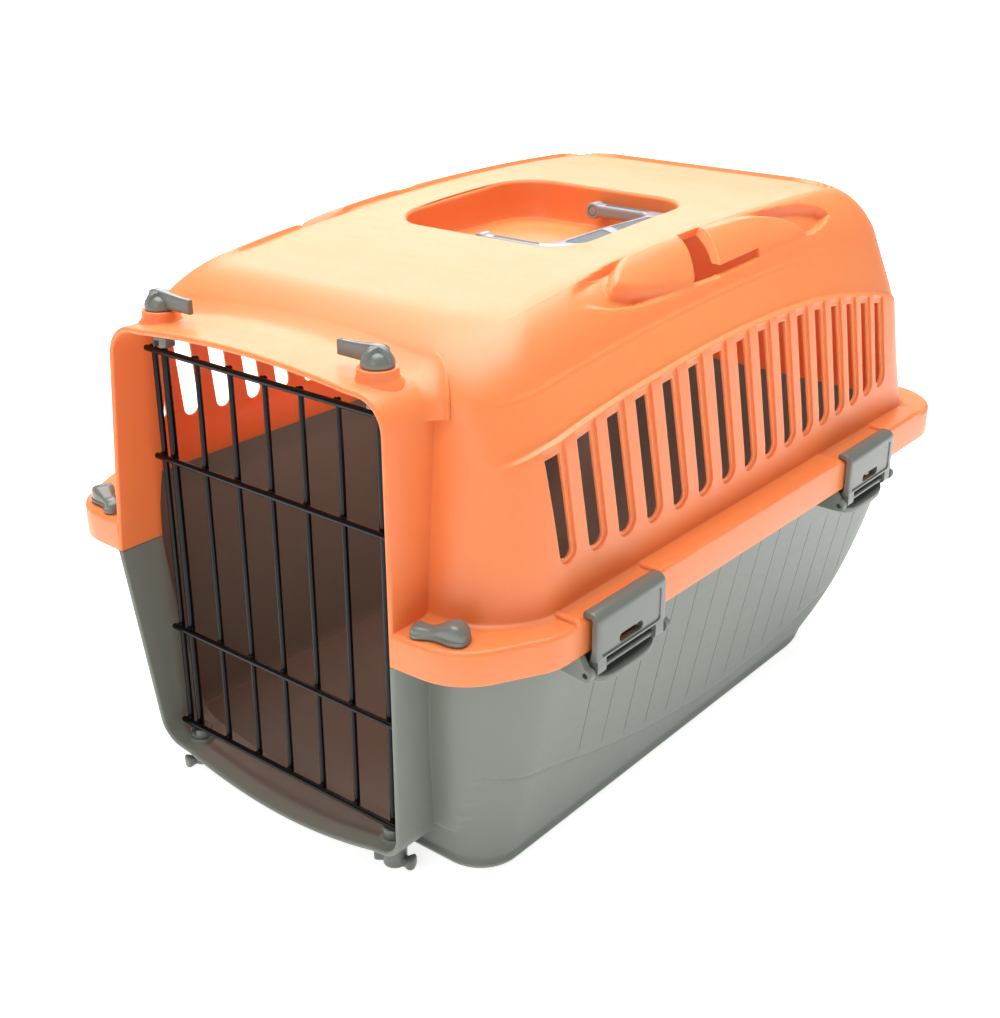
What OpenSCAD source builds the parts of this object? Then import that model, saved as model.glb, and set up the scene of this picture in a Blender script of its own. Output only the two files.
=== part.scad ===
// Pet transport carrier: two moulded shells, a wire door, turning knobs, clips and a bail handle.
// The origin is on the floor under the middle. The door faces -Y and +Z is up.

/* [Overall] */
// Length over the door frame and the rear flange
length = 480; // [400:5:600]
// Width over the flange
width = 328; // [280:2:400]
// Height of the arched top at its highest
height = 300; // [270:2:380]
// Height where the two shells meet
split_z = 136; // [110:1:160]

/* [Shells] */
// Wall of both shells
wall = 3; // [2:0.5:4]
// Height of the flange over the joint
flange_h = 17.5; // [15:0.5:24]
// Thickness of the flange's flat top
flange_t = 3.5; // [2.5:0.5:5]
// Reach of the flange past the walls of the dome
flange_reach = 15; // [13:0.5:20]
// How much narrower each side of the base is at the floor
base_draft = 26; // [10:1:40]
// How far the rear of the base sweeps forward at the floor
rear_sweep = 75; // [30:1:110]
// Radius along the edge of the underside
floor_edge = 7; // [4:1:12]
// Radius of the lengthwise arch of the top
arch_r = 1600; // [1200:50:3000]
// Distance of the arch's highest point behind the middle
arch_y = 75; // [0:5:100]

/* [Door frame] */
// Width of the door frame at the joint
neck_w = 203.4; // [170:1:230]
// Depth of the door frame in front of the shells
neck_d = 25; // [22:1:35]
// Height of the frame's lower corners
sill_z = 16; // [14:1:24]
// Gap between the top of the frame and the top of the dome
shelf_drop = 37; // [30:1:50]
// Radius of the frame's corners
neck_r = 16; // [12:1:24]

/* [Vents] */
// Width of a slot
vent_w = 11; // [6:0.5:13]
// Number of slots on a side
vent_n = 16; // [8:1:16]
// Middle of the front slot
vent_start = -175; // [-176:1:-140]
// Distance from the front slot to the next
vent_pitch = 24; // [18:0.1:24]
// Loss of distance from slot to slot towards the rear
vent_narrowing = 0.31; // [0:0.01:0.4]

/* [Wire door] */
// Diameter of the hinge rods
rod_d = 4; // [3:0.2:5]
// Diameter of the cross wires
cross_d = 3.4; // [2.6:0.2:4]
// Diameter of the upright bars
bar_d = 3; // [2:0.2:4]
// Diameter of the outermost uprights
edge_d = 3.2; // [2:0.2:4]
// Distance between the two hinge rods
rod_span = 151; // [120:1:160]
// Distance between the uprights in the middle
bar_pitch = 25; // [20:1:32]
// Depth of the door behind the front edge of the frame
door_inset = 24; // [20:1:30]
// Depth that crossing wires sink into each other at a weld
weld = 0.3; // [0.1:0.1:0.6]

/* [Knobs] */
// Diameter of a knob's stem
stem_d = 6; // [5:0.5:8]
// Length of the lever of a top knob
lever_l = 24; // [18:1:28]
// Length of each wing of a bottom knob
wing_l = 13; // [10:1:16]
// Diameter of a rod holder
holder_d = 12; // [10:0.5:13]
// Thickness of a top knob's lever
fin_t = 3.2; // [2.4:0.2:5]
// Length of a corner lock's paddle from its pivot
paddle_l = 21; // [16:1:24]

/* [Clips] */
// Width of a side clip
clip_w = 60; // [40:1:70]
// Thickness of a side clip
clip_t = 3.6; // [3:0.2:5]
// Middle of the front pair of clips
front_clip_y = -143; // [-150:1:-100]
// Middle of the rear pair of clips
rear_clip_y = 115; // [80:1:130]
// Diameter of a clip's hinge pin
clip_pin_d = 3; // [2:0.5:4]

/* [Handle] */
// Width of the well in the top
well_w = 126; // [110:1:150]
// Length of the well in the top
well_l = 125; // [110:1:150]
// Depth of the well
well_d = 26; // [22:1:32]
// Radius of the well's corners
well_r = 25; // [20:1:35]
// Middle of the well
well_y = 2.5; // [-20:0.5:20]
// Width of the grip
grip_w = 18; // [14:1:22]
// Thickness of the handle
grip_t = 8; // [6:0.5:10]
// Diameter of the handle's pivots
pivot_d = 6; // [4:0.5:8]

/* [Seat belt guides] */
// Length of the slots beside the tongues
belt_l = 68; // [50:1:80]
// Gap between the two tongues
belt_gap = 16; // [8:1:18]

/* [Hidden] */
$fn = 48;

orange = [0.93, 0.55, 0.33];
green_grey = [0.53, 0.56, 0.51];
knob_grey = [0.56, 0.58, 0.55];
wire_black = [0.07, 0.07, 0.08];
silver = [0.72, 0.73, 0.74];
inlay_grey = [0.25, 0.27, 0.29];

run = 0.05;             // radial clearance of a running fit
gap = 0.4;              // clearance between pieces that pass each other
rear = length / 2;
front = -rear;
foot_z = split_z + flange_h;    // where the dome stands on the flange
rim_z = foot_z - flange_t;      // where the base's rim meets the flange
dome_w = width / 2 - flange_reach;
shelf_z = height - shelf_drop;

// Arched height of the top at y
function top_z(y) = height - pow(y - arch_y, 2) / (2 * arch_r);

// ---- Outlines ----

function unit(v) = v / norm(v);
function xy(p) = [p[0], p[1]];
function turned(v) = [-v[1], v[0]];
function at(p, i) = p[(i + len(p)) % len(p)];

// Points on an arc of radius r that rounds the corner b between its neighbours a and c
function corner(a, b, c, r) =
  let (u = unit(a - b), v = unit(c - b), half = acos(u * v) / 2,
       centre = b + unit(u + v) * r / sin(half), start = b + u * r / tan(half) - centre,
       side = cross([b[0] - a[0], b[1] - a[1]], [c[0] - b[0], c[1] - b[1]]) > 0 ? 1 : -1,
       sweep = side * (180 - 2 * half), first = atan2(start[1], start[0]), n = ceil(abs(sweep) / 15))
  [for (i = [0:n]) centre + r * [cos(first + sweep * i / n), sin(first + sweep * i / n)]];

// An outline of [x, y] or [x, y, radius] points with its corners rounded
function rounded(p) = [for (i = [0:len(p) - 1])
  each (p[i][2] == undef || p[i][2] <= 0 ? [xy(p[i])]
        : corner(xy(at(p, i - 1)), xy(p[i]), xy(at(p, i + 1)), p[i][2]))];

// The same anticlockwise outline moved inwards by t
function inset(p, t) = [for (i = [0:len(p) - 1])
  let (d = unit(xy(p[i]) - xy(at(p, i - 1))), e = unit(xy(at(p, i + 1)) - xy(p[i])),
       m = turned(d), n = turned(e), q = xy(p[i]) + t * (m + n) / (1 + m * n))
  [q[0], q[1], p[i][2] == undef ? 0 : max(p[i][2] - t, 1)]];

// A half outline given for x > 0, from its front to its rear, closed by its mirror image
function both_sides(p) = concat(p, [for (i = [len(p) - 1:-1:0]) [-p[i][0], p[i][1], p[i][2]]]);

// ---- Lofted shells ----

// Half of a ring from front to rear: straight front, arc, straight side, arc, straight rear
function half_ring(w, yf, yr, rf, rr) = concat(
  [for (a = [0:15:90]) [w - rf + rf * sin(a), yf + rf - rf * cos(a)]],
  [for (i = [1:7]) [w, yf + rf + (yr - rr - yf - rf) * i / 8]],
  [for (a = [0:15:90]) [w - rr + rr * cos(a), yr - rr + rr * sin(a)]]);

// A solid through rings that all have the same number of points, each paired with its mirror image
module loft(rings) {
  n = len(rings[0]);
  last = (len(rings) - 1) * n;
  sides = [for (k = [0:len(rings) - 2], i = [0:n - 1]) let (j = (i + 1) % n)
    each [[k * n + i, k * n + n + i, k * n + n + j], [k * n + i, k * n + n + j, k * n + j]]];
  floor_faces = [for (i = [0:n / 2 - 2]) [i, i + 1, n - 2 - i, n - 1 - i]];
  roof_faces = [for (f = floor_faces) [for (v = [3:-1:0]) last + f[v]]];
  polyhedron([for (r = rings) each r], concat(sides, floor_faces, roof_faces));
}

// Share of the way up the base, 0 at the floor and 1 at the joint
function up(z) = min(z / split_z, 1);
function base_half_w(z) = dome_w + 1 - base_draft * (1 - up(z));
function base_front(z) = front + neck_d + 15 * pow(1 - up(z), 1.5);
function base_rear(z) = rear - 12 - rear_sweep * pow(1 - up(z), 3.3);
// Inward shift of the rounded edge of the underside
function edge_in(z) = z < floor_edge ? floor_edge - sqrt(pow(floor_edge, 2) - pow(floor_edge - z, 2)) : 0;

// A ring of the base at height z, moved inwards by t
function base_ring(z, t) =
  let (s = t + edge_in(z), half = half_ring(base_half_w(z) - s, base_front(z) + s, base_rear(z) - s,
       max(24 + 18 * up(z) - s, 4), max(50 - s, 4)))
  [for (p = both_sides(half)) [p[0], p[1], z]];

module base_solid(t, z0, z1) {
  levels = concat([z0], [for (z = [2, 4, 7, 14, 24, 38, 56, 80, 108, split_z]) if (z > z0 + 1) z], [z1]);
  loft([for (z = levels) base_ring(z, t)]);
}

// The dome's sides lean in, then bend over a shoulder into the top.
// Each row is a level: height, half width, front, rear and the radii of the corners.
shoulder_z = height - 27;
function bend(a, b, c, s) = pow(1 - s, 2) * a + 2 * s * (1 - s) * b + pow(s, 2) * c;
dome_levels = concat(
  [[foot_z, dome_w, front + neck_d, rear - 15, 42, 40],
   [height - 60, dome_w - 6, front + neck_d + 9, rear - 33, 40, 37]],
  [for (s = [0:0.2:1]) [bend(shoulder_z, height, height, s),
    bend(dome_w - 22, dome_w - 35, dome_w - 61, s), bend(front + 39, front + 50, front + 85, s),
    bend(rear - 38.5, rear - 45, rear - 68, s), bend(36, 34, 26, s), bend(34, 32, 26, s)]]);

// Height of a dome point: levels squeeze together towards the ends, where the arched top is lower
function arched(z, y) = z <= foot_z ? z : foot_z + (z - foot_z) * (top_z(y) - foot_z) / (height - foot_z);

function dome_ring(l, t) =
  let (half = half_ring(l[1] - t, l[2] + t, l[3] - t, l[4] - t, l[5] - t))
  [for (p = both_sides(half)) [p[0], p[1], arched(l[0], p[1]) - (l[0] > shoulder_z ? t : 0)]];

// The dome moved inwards by t, from z0 up
module dome_solid(t, z0) {
  foot = dome_levels[0];
  loft(concat([dome_ring([z0, foot[1], foot[2], foot[3], foot[4], foot[5]], t)],
              [for (l = dome_levels) dome_ring(l, t)]));
}

// ---- Door frame ----

neck_bottom_w = neck_w / 2 - 9.9;
neck_top_w = neck_w / 2 - 5.8;
sill_sag = 12.5;
shelf_crown = 5;
// Half outline seen from the front, from the middle of the sill to the middle of the shelf
neck_half = concat(
  [for (x = [0, 30, 60]) [x, sill_z - sill_sag * (1 - pow(x / 80, 2)), 0]],
  [[neck_bottom_w, sill_z, neck_r], [neck_w / 2, split_z, 0], [neck_top_w, shelf_z, neck_r + 2]],
  [for (x = [60, 30, 0]) [x, shelf_z + shelf_crown * (1 - pow(x / 80, 2)), 0]]);
neck_outline = concat(neck_half, [for (i = [len(neck_half) - 2:-1:1]) [-neck_half[i][0], neck_half[i][1], neck_half[i][2]]]);

// The frame as a solid block moved inwards by t, from y0 to y1
module neck_block(t, y0, y1) {
  translate([0, y1, 0]) rotate([90, 0, 0]) linear_extrude(y1 - y0) polygon(rounded(inset(neck_outline, t)));
}

// The block behind the frame's raked front edge
module neck_solid() {
  intersection() {
    neck_block(0, front - 5, front + 55);
    rotate([90, 0, 90]) translate([0, 0, -neck_w]) linear_extrude(2 * neck_w)
      polygon([[front + 11.6, 0], [front, split_z], [front + 7, height], [rear, height], [rear, 0]]);
  }
}

// ---- Flange and rim ----

flange_outline = both_sides([
  [neck_w / 2 - 4, front, 0], [neck_w / 2 + 36, front + 1, 34], [width / 2 - 2, front + 46, 30],
  [width / 2, rear - 130, 0], [width / 2 - 1, rear, 42]]);

module flange_slab(t, z0, z1) {
  translate([0, 0, z0]) linear_extrude(z1 - z0) polygon(rounded(inset(flange_outline, t)));
}

// ---- Vents ----

function vent_y(i) = vent_start + vent_pitch * i - vent_narrowing * i * (i - 1) / 2;
// The tops follow an arch that falls faster to the rear, the bottoms one that rises to both ends
arch_peak_y = 28;
function vent_top(y) = height - 53.5 - pow(y - arch_peak_y, 2) / (y < arch_peak_y ? 2400 : 1200);
function vent_bottom(y) = foot_z + 19.7 + pow(y + 10, 2) / 4500;

// One slot through both walls, square at the top and round at the bottom
module vent(y) {
  low = vent_bottom(y) + vent_w / 2;
  translate([-width / 2, y, low]) rotate([0, 90, 0]) cylinder(d = vent_w, h = width);
  translate([-width / 2, y - vent_w / 2, low]) cube([width, vent_w, vent_top(y) - low]);
}

// ---- Places of the moving pieces ----

door_y = front + door_inset;             // axes of the hinge rods
cross_y = door_y - (rod_d + cross_d) / 2 + weld;
bar_y = cross_y + (bar_d + cross_d) / 2 - weld;
edge_y = cross_y + (edge_d + cross_d) / 2 - weld;
rod_x = rod_span / 2;
sill_seat_z = sill_z + 2.3;              // floor of the recess round a bottom holder
shelf_seat_z = shelf_z - 5.5;            // underside of the boss over a top holder
holder_gap = 0.3;
top_holder_h = 6.6;
bottom_holder_h = 5.4;
socket_h = 2;                            // depth that a stem sits in its holder
rod_top = shelf_seat_z - holder_gap - socket_h - 0.6;
rod_bottom = sill_seat_z + holder_gap + socket_h + 0.6;
top_cross_z = shelf_seat_z - holder_gap - top_holder_h - 0.5 - cross_d / 2;
bottom_cross_z = sill_seat_z + holder_gap + bottom_holder_h + 0.5 + cross_d / 2;
boss_h = 7;                              // rise of the boss under a top knob
knob_z = shelf_z + boss_h;
sill_boss_z = sill_z - 3.8;              // underside of the boss over a bottom knob

lock_x = neck_w / 2 + 26.3;
lock_y = front + 13.5;
lock_turn = 20;          // angle between a paddle and the X axis
cam_l = 10;
cam_w = 6;
cam_t = 3;

clip_x = width / 2 + 1;                  // axis of the clip hinges
clip_z = split_z - 9;
clip_r = 3.3;                            // radius of the hinge barrels
lug_t = 4;
clip_pin_l = clip_w + 2 * lug_t + 2 * gap;

well_z = height - well_d - 1;            // floor of the well
pivot_z = height - 14;
arm_t = 8;
handle_half = well_l / 2 - 5;            // half of the handle's length
handle_reach = well_w / 2 - 3;           // from the pivots to the outer edge of the grip

// ---- Shells ----

module well(t, z0, z1) {
  outline = [for (p = [[-1, -1], [1, -1], [1, 1], [-1, 1]])
    [p[0] * (well_w / 2 + t), well_y + p[1] * (well_l / 2 + t), well_r + t]];
  translate([0, 0, z0]) linear_extrude(z1 - z0) polygon(rounded(outline));
}

// Belt passage on the right-hand side: a slot below and above two tongues, and the gap between them
module belt_guide() {
  slot_h = 6;
  low_z = height - 22;
  slots_y = 6.5;
  gap_y = -8;
  translate([dome_w - 52, slots_y - belt_l / 2, low_z - slot_h / 2]) cube([60, belt_l, slot_h]);
  translate([dome_w - 49, slots_y - belt_l / 2, low_z]) cube([slot_h, belt_l, 60]);
  translate([dome_w - 49, gap_y - belt_gap / 2, low_z]) cube([60, belt_gap, 60]);
}

module top_shell() color(orange) {
  difference() {
    union() {
      difference() {
        union() {
          dome_solid(0, rim_z);
          intersection() {
            neck_solid();
            translate([-neck_w, front - 10, split_z]) cube([2 * neck_w, 80, height]);
          }
          difference() {
            flange_slab(0, split_z, foot_z);
            flange_slab(wall, split_z - 1, rim_z);
          }
          for (s = [-1, 1]) translate([s * rod_x, door_y, shelf_z - 3]) cylinder(d = 20, h = boss_h + 3);
        }
        dome_solid(wall, split_z - 1);
        neck_block(wall, front - 10, front + 55);
      }
      intersection() {
        well(wall, well_z - wall, height + 5);
        dome_solid(0, rim_z);
      }
      for (s = [-1, 1]) translate([s * rod_x, door_y, shelf_seat_z]) cylinder(d = 15, h = shelf_z - shelf_seat_z);
    }
    well(0, well_z, height + 5);
    for (i = [0:vent_n - 1]) vent(vent_y(i));
    for (s = [0, 1]) mirror([s, 0, 0]) belt_guide();
    for (s = [-1, 1]) {
      translate([s * rod_x, door_y, shelf_z - 20]) cylinder(d = stem_d + 2 * run, h = 40);
      translate([s * lock_x, lock_y, rim_z - 5]) cylinder(d = stem_d + 2 * run, h = 20);
    }
    translate([0, well_y - well_l / 2 - 10, pivot_z]) rotate([-90, 0, 0])
      cylinder(d = pivot_d + 2 * run, h = well_l + 20);
  }
}

// A pair of lugs that carries the hinge pin of a right-hand clip
module clip_lugs(y) {
  wall_x = base_half_w(clip_z) - 2;
  for (s = [-1, 1]) translate([0, y + s * (clip_w / 2 + gap + lug_t / 2) + lug_t / 2, 0])
    rotate([90, 0, 0]) linear_extrude(lug_t) {
      translate([clip_x, clip_z]) circle(r = clip_r);
      translate([wall_x, clip_z - clip_r]) square([clip_x - wall_x, 2 * clip_r]);
    }
}

module base_shell() color(green_grey) {
  difference() {
    union() {
      base_solid(0, 0.6, rim_z);
      linear_extrude(2) polygon([for (p = base_ring(0, 0)) xy(p)]);
      flange_slab(wall + gap, rim_z - wall, rim_z);
      intersection() {
        neck_solid();
        translate([-neck_w, front - 10, -1]) cube([2 * neck_w, 80, split_z + 1]);
      }
      for (s = [0, 1], y = [front_clip_y, rear_clip_y]) mirror([s, 0, 0]) clip_lugs(y);
      for (s = [-1, 1]) translate([s * rod_x, door_y, sill_boss_z]) cylinder(d = 15, h = sill_seat_z - sill_boss_z);
    }
    base_solid(wall, wall, rim_z + 1);
    difference() {
      neck_block(wall, front - 10, front + 55);
      for (s = [-1, 1]) translate([s * rod_x, door_y, 0]) cylinder(d = 15, h = sill_seat_z);
    }
    translate([-neck_w / 2 - 0.5, front - 10, split_z]) cube([neck_w + 1, neck_d + 40, 30]);
    for (s = [-1, 1]) {
      translate([s * rod_x, door_y, 0]) cylinder(d = stem_d + 2 * run, h = sill_seat_z + 1);
      translate([s * rod_x, door_y, sill_seat_z]) cylinder(d = holder_d + 2 * gap, h = 20);
      translate([s * lock_x, lock_y, rim_z - 10]) rotate(s * lock_turn)
        translate([-cam_l / 2 - 1, -cam_w / 2 - 1.5, 0]) cube([cam_l + 2, cam_w + 3, 20]);
    }
    for (s = [-1, 1], y = [front_clip_y, rear_clip_y])
      translate([s * clip_x, y + clip_pin_l / 2, clip_z]) rotate([90, 0, 0]) cylinder(d = clip_pin_d, h = clip_pin_l);
  }
}

// ---- Wire door ----

module upright(x, y, d, z0, z1) {
  translate([x, y, z0]) cylinder(d = d, h = z1 - z0);
}

module door_cross_wires() color(wire_black) {
  reach = rod_x + 9.8;
  upper_z = top_cross_z - 59.5;
  lower_z = bottom_cross_z + 60.5;
  for (z = [top_cross_z, upper_z, lower_z, bottom_cross_z])
    translate([-reach, cross_y, z]) rotate([0, 90, 0]) cylinder(d = cross_d, h = 2 * reach);
}

module door_bars() color(wire_black)
  for (i = [-2:2]) upright(i * bar_pitch, bar_y, bar_d, bottom_cross_z - 1, top_cross_z + 1);

module door_edge_rods() color(wire_black)
  for (s = [-1, 1]) upright(s * (rod_x + 7.6), edge_y, edge_d, bottom_cross_z - 1, top_cross_z + 1);

module left_hinge_rod() color(wire_black) upright(-rod_x, door_y, rod_d, rod_bottom, rod_top);
module right_hinge_rod() color(wire_black) upright(rod_x, door_y, rod_d, rod_bottom, rod_top);

// ---- Knobs and rod holders ----

// Plan of a lever along +X: a round hub, a waist and a rounder end
module lever_plan(hub_d, reach, end_d) {
  circle(d = hub_d);
  translate([reach - end_d / 2, 0]) circle(d = end_d);
  translate([0, -end_d / 3]) square([reach - end_d / 2, end_d / 1.5]);
}

// A top knob: its hub stands on the boss, and a thin upright lever runs along +X
module top_knob() color(knob_grey) {
  translate([0, 0, shelf_seat_z - holder_gap - socket_h]) cylinder(d = stem_d, h = knob_z - shelf_seat_z + 6);
  translate([0, 0, knob_z + holder_gap]) cylinder(d1 = 16, d2 = 10, h = 8);
  translate([0, -fin_t / 2, knob_z + 1]) cube([lever_l, fin_t, 7.6]);
}

// A bottom knob with a wing on each side
module bottom_knob() color(knob_grey) {
  translate([0, 0, 5]) cylinder(d = stem_d, h = sill_seat_z + holder_gap + socket_h - 5);
  translate([0, 0, 3]) cylinder(d = 13, h = sill_boss_z - holder_gap - 3);
  translate([0, 0, 1]) linear_extrude(6) for (a = [0, 180]) rotate(a) lever_plan(12, wing_l, 8);
}

// A holder standing on z0, with its rod's channel along -Y. The stem enters it at stem_z.
module rod_holder(z0, h, stem_z, rod_z) color(knob_grey) {
  channel = rod_d + 0.4;
  difference() {
    translate([0, 0, z0]) cylinder(d = holder_d, h = h);
    translate([0, 0, stem_z]) cylinder(d = stem_d, h = socket_h);
    translate([0, 0, rod_z]) cylinder(d = rod_d + 2 * 0.08, h = h);
    translate([-channel / 2, -holder_d, rod_z]) cube([channel, holder_d, h]);
  }
}

module top_rod_holder() {
  translate([0, 0, shelf_seat_z - holder_gap]) mirror([0, 0, 1])
    rod_holder(0, top_holder_h, 0, socket_h + 0.3);
}

module bottom_rod_holder() rod_holder(sill_seat_z + holder_gap, bottom_holder_h,
  sill_seat_z + holder_gap, sill_seat_z + holder_gap + socket_h + 0.3);

module at_left_rod() translate([-rod_x, door_y, 0]) children();
module at_right_rod() translate([rod_x, door_y, 0]) children();

module top_left_knob() at_left_rod() top_knob();
module top_right_knob() at_right_rod() rotate(180) top_knob();
module bottom_left_knob() at_left_rod() bottom_knob();
module bottom_right_knob() at_right_rod() bottom_knob();
module top_left_rod_holder() at_left_rod() top_rod_holder();
module top_right_rod_holder() at_right_rod() rotate(-90) top_rod_holder();
module bottom_left_rod_holder() at_left_rod() bottom_rod_holder();
module bottom_right_rod_holder() at_right_rod() rotate(-90) bottom_rod_holder();

// ---- Corner locks ----

// A low paddle along +X with a higher thumb rest over the pivot
module corner_lever() color(knob_grey) {
  translate([0, 0, foot_z + holder_gap]) {
    linear_extrude(6) lever_plan(12, paddle_l, 9);
    cylinder(d1 = 13, d2 = 5, h = 12);
  }
  translate([0, 0, rim_z - wall - gap - cam_t]) cylinder(d = stem_d, h = foot_z - rim_z + wall + gap + cam_t + 2);
}

// The cam lies under the base's rim and across its slot
module corner_cam() color(knob_grey)
  translate([0, 0, rim_z - wall - gap - cam_t]) difference() {
    translate([-cam_w / 2 - 1, -cam_l / 2, 0]) cube([cam_w + 2, cam_l, cam_t]);
    translate([0, 0, -1]) cylinder(d = stem_d, h = cam_t + 2);
  }

module at_left_lock() translate([-lock_x, lock_y, 0]) rotate(-lock_turn) children();
module at_right_lock() translate([lock_x, lock_y, 0]) rotate(180 + lock_turn) children();

module left_corner_lever() at_left_lock() corner_lever();
module right_corner_lever() at_right_lock() corner_lever();
module left_corner_cam() at_left_lock() corner_cam();
module right_corner_cam() at_right_lock() corner_cam();

// ---- Side clips ----

// A right-hand clip: a barrel on the pin, a leg up the skirt and a plate over the flange
module clip(y) color(knob_grey) {
  leg_x = width / 2 + gap;
  plate_z = foot_z + holder_gap;
  difference() {
    translate([0, y + clip_w / 2, 0]) rotate([90, 0, 0]) linear_extrude(clip_w) difference() {
      union() {
        translate([clip_x, clip_z]) circle(r = clip_r);
        translate([leg_x, clip_z]) square([clip_t, plate_z - clip_z + clip_t]);
        translate([dome_w + 2.5, plate_z]) square([leg_x - dome_w - 2.5 + clip_t, clip_t]);
      }
      translate([clip_x, clip_z]) circle(d = clip_pin_d + 2 * run);
    }
    for (s = [-1, 1]) translate([width / 2, y + s * 8, clip_z + 9]) rotate([0, 90, 0]) cylinder(d = 4, h = 10);
    translate([width / 2, y - 8, clip_z + 7]) cube([10, 16, 4]);
  }
}

module clip_pin(y) color(wire_black)
  translate([clip_x, y + clip_pin_l / 2, clip_z]) rotate([90, 0, 0]) cylinder(d = clip_pin_d, h = clip_pin_l);

module on_left() mirror([1, 0, 0]) children();

module right_front_clip() clip(front_clip_y);
module right_rear_clip() clip(rear_clip_y);
module left_front_clip() on_left() clip(front_clip_y);
module left_rear_clip() on_left() clip(rear_clip_y);
module right_front_clip_pin() clip_pin(front_clip_y);
module right_rear_clip_pin() clip_pin(rear_clip_y);
module left_front_clip_pin() on_left() clip_pin(front_clip_y);
module left_rear_clip_pin() on_left() clip_pin(rear_clip_y);

// ---- Handle ----

inlay_t = 1.2;
inlay_z = pivot_z + grip_t / 2 - 1;
grip_x = handle_reach - grip_w / 2;
grip_inlay_l = 30;
grip_inlay_y = 21;
arm_inlay_l = 26;

// Outline of the bail lying flat: two arms and the grip, with round outer corners
bail_outline = [
  [0, -handle_half, 0], [handle_reach, -handle_half, 18], [handle_reach, handle_half, 18], [0, handle_half, 0],
  [0, handle_half - arm_t, 0], [handle_reach - grip_w, handle_half - arm_t, 6],
  [handle_reach - grip_w, arm_t - handle_half, 6], [0, arm_t - handle_half, 0]];

module grip_inlay_plan(t) {
  for (s = [-1, 1]) translate([grip_x - grip_w / 2 + 3 + t, s * grip_inlay_y - grip_inlay_l / 2 + t])
    square([grip_w - 6 - 2 * t, grip_inlay_l - 2 * t]);
}

module arm_inlay_plan(t) {
  for (s = [-1, 1]) translate([8 + t, s * (handle_half - arm_t / 2) - arm_t / 2 + 2 + t])
    square([arm_inlay_l - 2 * t, arm_t - 4 - 2 * t]);
}

module handle_frame() color(silver) translate([0, well_y, 0]) difference() {
  union() {
    translate([0, 0, pivot_z - grip_t / 2]) linear_extrude(grip_t) polygon(rounded(bail_outline));
    for (s = [-1, 1]) translate([0, s * (handle_half - arm_t / 2) + arm_t / 2, pivot_z]) rotate([90, 0, 0])
      cylinder(d = grip_t + 2, h = arm_t);
  }
  translate([0, -well_l, pivot_z]) rotate([-90, 0, 0]) cylinder(d = pivot_d, h = 2 * well_l);
  translate([0, 0, inlay_z]) linear_extrude(5) {
    grip_inlay_plan(0);
    arm_inlay_plan(0);
  }
}

module handle_grip_inlays() color(inlay_grey)
  translate([0, well_y, inlay_z]) linear_extrude(inlay_t) grip_inlay_plan(0.15);

module handle_arm_inlays() color(inlay_grey)
  translate([0, well_y, inlay_z]) linear_extrude(inlay_t) arm_inlay_plan(0.15);

// A pivot goes through the arm and the wall of the well
module pivot(side) color(silver)
  translate([0, well_y + side * (handle_half - arm_t), pivot_z]) rotate([-90 * side, 0, 0])
    cylinder(d = pivot_d, h = arm_t + well_l / 2 - handle_half + wall + 2);

module handle_front_pivot() pivot(-1);
module handle_rear_pivot() pivot(1);

base_shell();
top_shell();
door_cross_wires();
door_bars();
door_edge_rods();
left_hinge_rod();
right_hinge_rod();
top_left_knob();
top_right_knob();
bottom_left_knob();
bottom_right_knob();
top_left_rod_holder();
top_right_rod_holder();
bottom_left_rod_holder();
bottom_right_rod_holder();
left_corner_lever();
right_corner_lever();
left_corner_cam();
right_corner_cam();
left_front_clip();
left_rear_clip();
right_front_clip();
right_rear_clip();
left_front_clip_pin();
left_rear_clip_pin();
right_front_clip_pin();
right_rear_clip_pin();
handle_frame();
handle_grip_inlays();
handle_arm_inlays();
handle_front_pivot();
handle_rear_pivot();
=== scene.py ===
"""Looks of the pet transport carrier: detailed pieces that ride on the bodies of its CAD model.

Lengths in the functions are in millimetres, in the frame of the CAD model: X to the right, Y to the rear and
Z up.
"""

import math
from types import SimpleNamespace

import bpy
import numpy as np
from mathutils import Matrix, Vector


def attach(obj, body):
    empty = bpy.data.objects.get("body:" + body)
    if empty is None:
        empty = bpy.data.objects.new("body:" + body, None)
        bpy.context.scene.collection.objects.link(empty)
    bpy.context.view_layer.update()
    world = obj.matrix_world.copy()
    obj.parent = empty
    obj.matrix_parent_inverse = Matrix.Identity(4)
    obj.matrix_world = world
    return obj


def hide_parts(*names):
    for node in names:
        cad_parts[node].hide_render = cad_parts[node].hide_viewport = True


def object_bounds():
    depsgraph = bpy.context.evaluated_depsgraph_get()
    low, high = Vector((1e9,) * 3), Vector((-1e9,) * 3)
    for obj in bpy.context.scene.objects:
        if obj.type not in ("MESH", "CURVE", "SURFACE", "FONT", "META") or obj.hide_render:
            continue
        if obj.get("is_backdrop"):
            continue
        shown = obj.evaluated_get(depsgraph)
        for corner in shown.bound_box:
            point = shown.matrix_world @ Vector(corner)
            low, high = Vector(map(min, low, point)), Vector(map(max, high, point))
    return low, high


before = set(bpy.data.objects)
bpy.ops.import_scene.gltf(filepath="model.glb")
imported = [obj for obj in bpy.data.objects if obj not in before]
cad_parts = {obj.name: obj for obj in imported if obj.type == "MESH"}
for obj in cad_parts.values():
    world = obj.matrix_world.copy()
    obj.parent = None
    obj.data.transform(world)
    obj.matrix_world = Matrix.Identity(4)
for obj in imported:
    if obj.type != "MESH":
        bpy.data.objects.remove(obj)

bl_info = {
    "name": "Pet transport carrier",
    "version": (1, 0, 0),
    "blender": (4, 5, 0),
    "location": "View3D > Sidebar > Carrier",
    "description": "Builds the visual pieces of a pet transport carrier around its CAD model",
    "category": "Object",
}

MM = 0.001
TIP = 0.02  # radius that closes the end of a turned body, in millimetres
SCOOP_END = 134  # the belt scoops lie before this y, in millimetres
VENTS = 16  # vents on each side
FLOOR_HALF = 30000.0  # half the side of the floor, in millimetres
FOOT_R = 7  # radius of the base's lower edge, in millimetres


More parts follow.
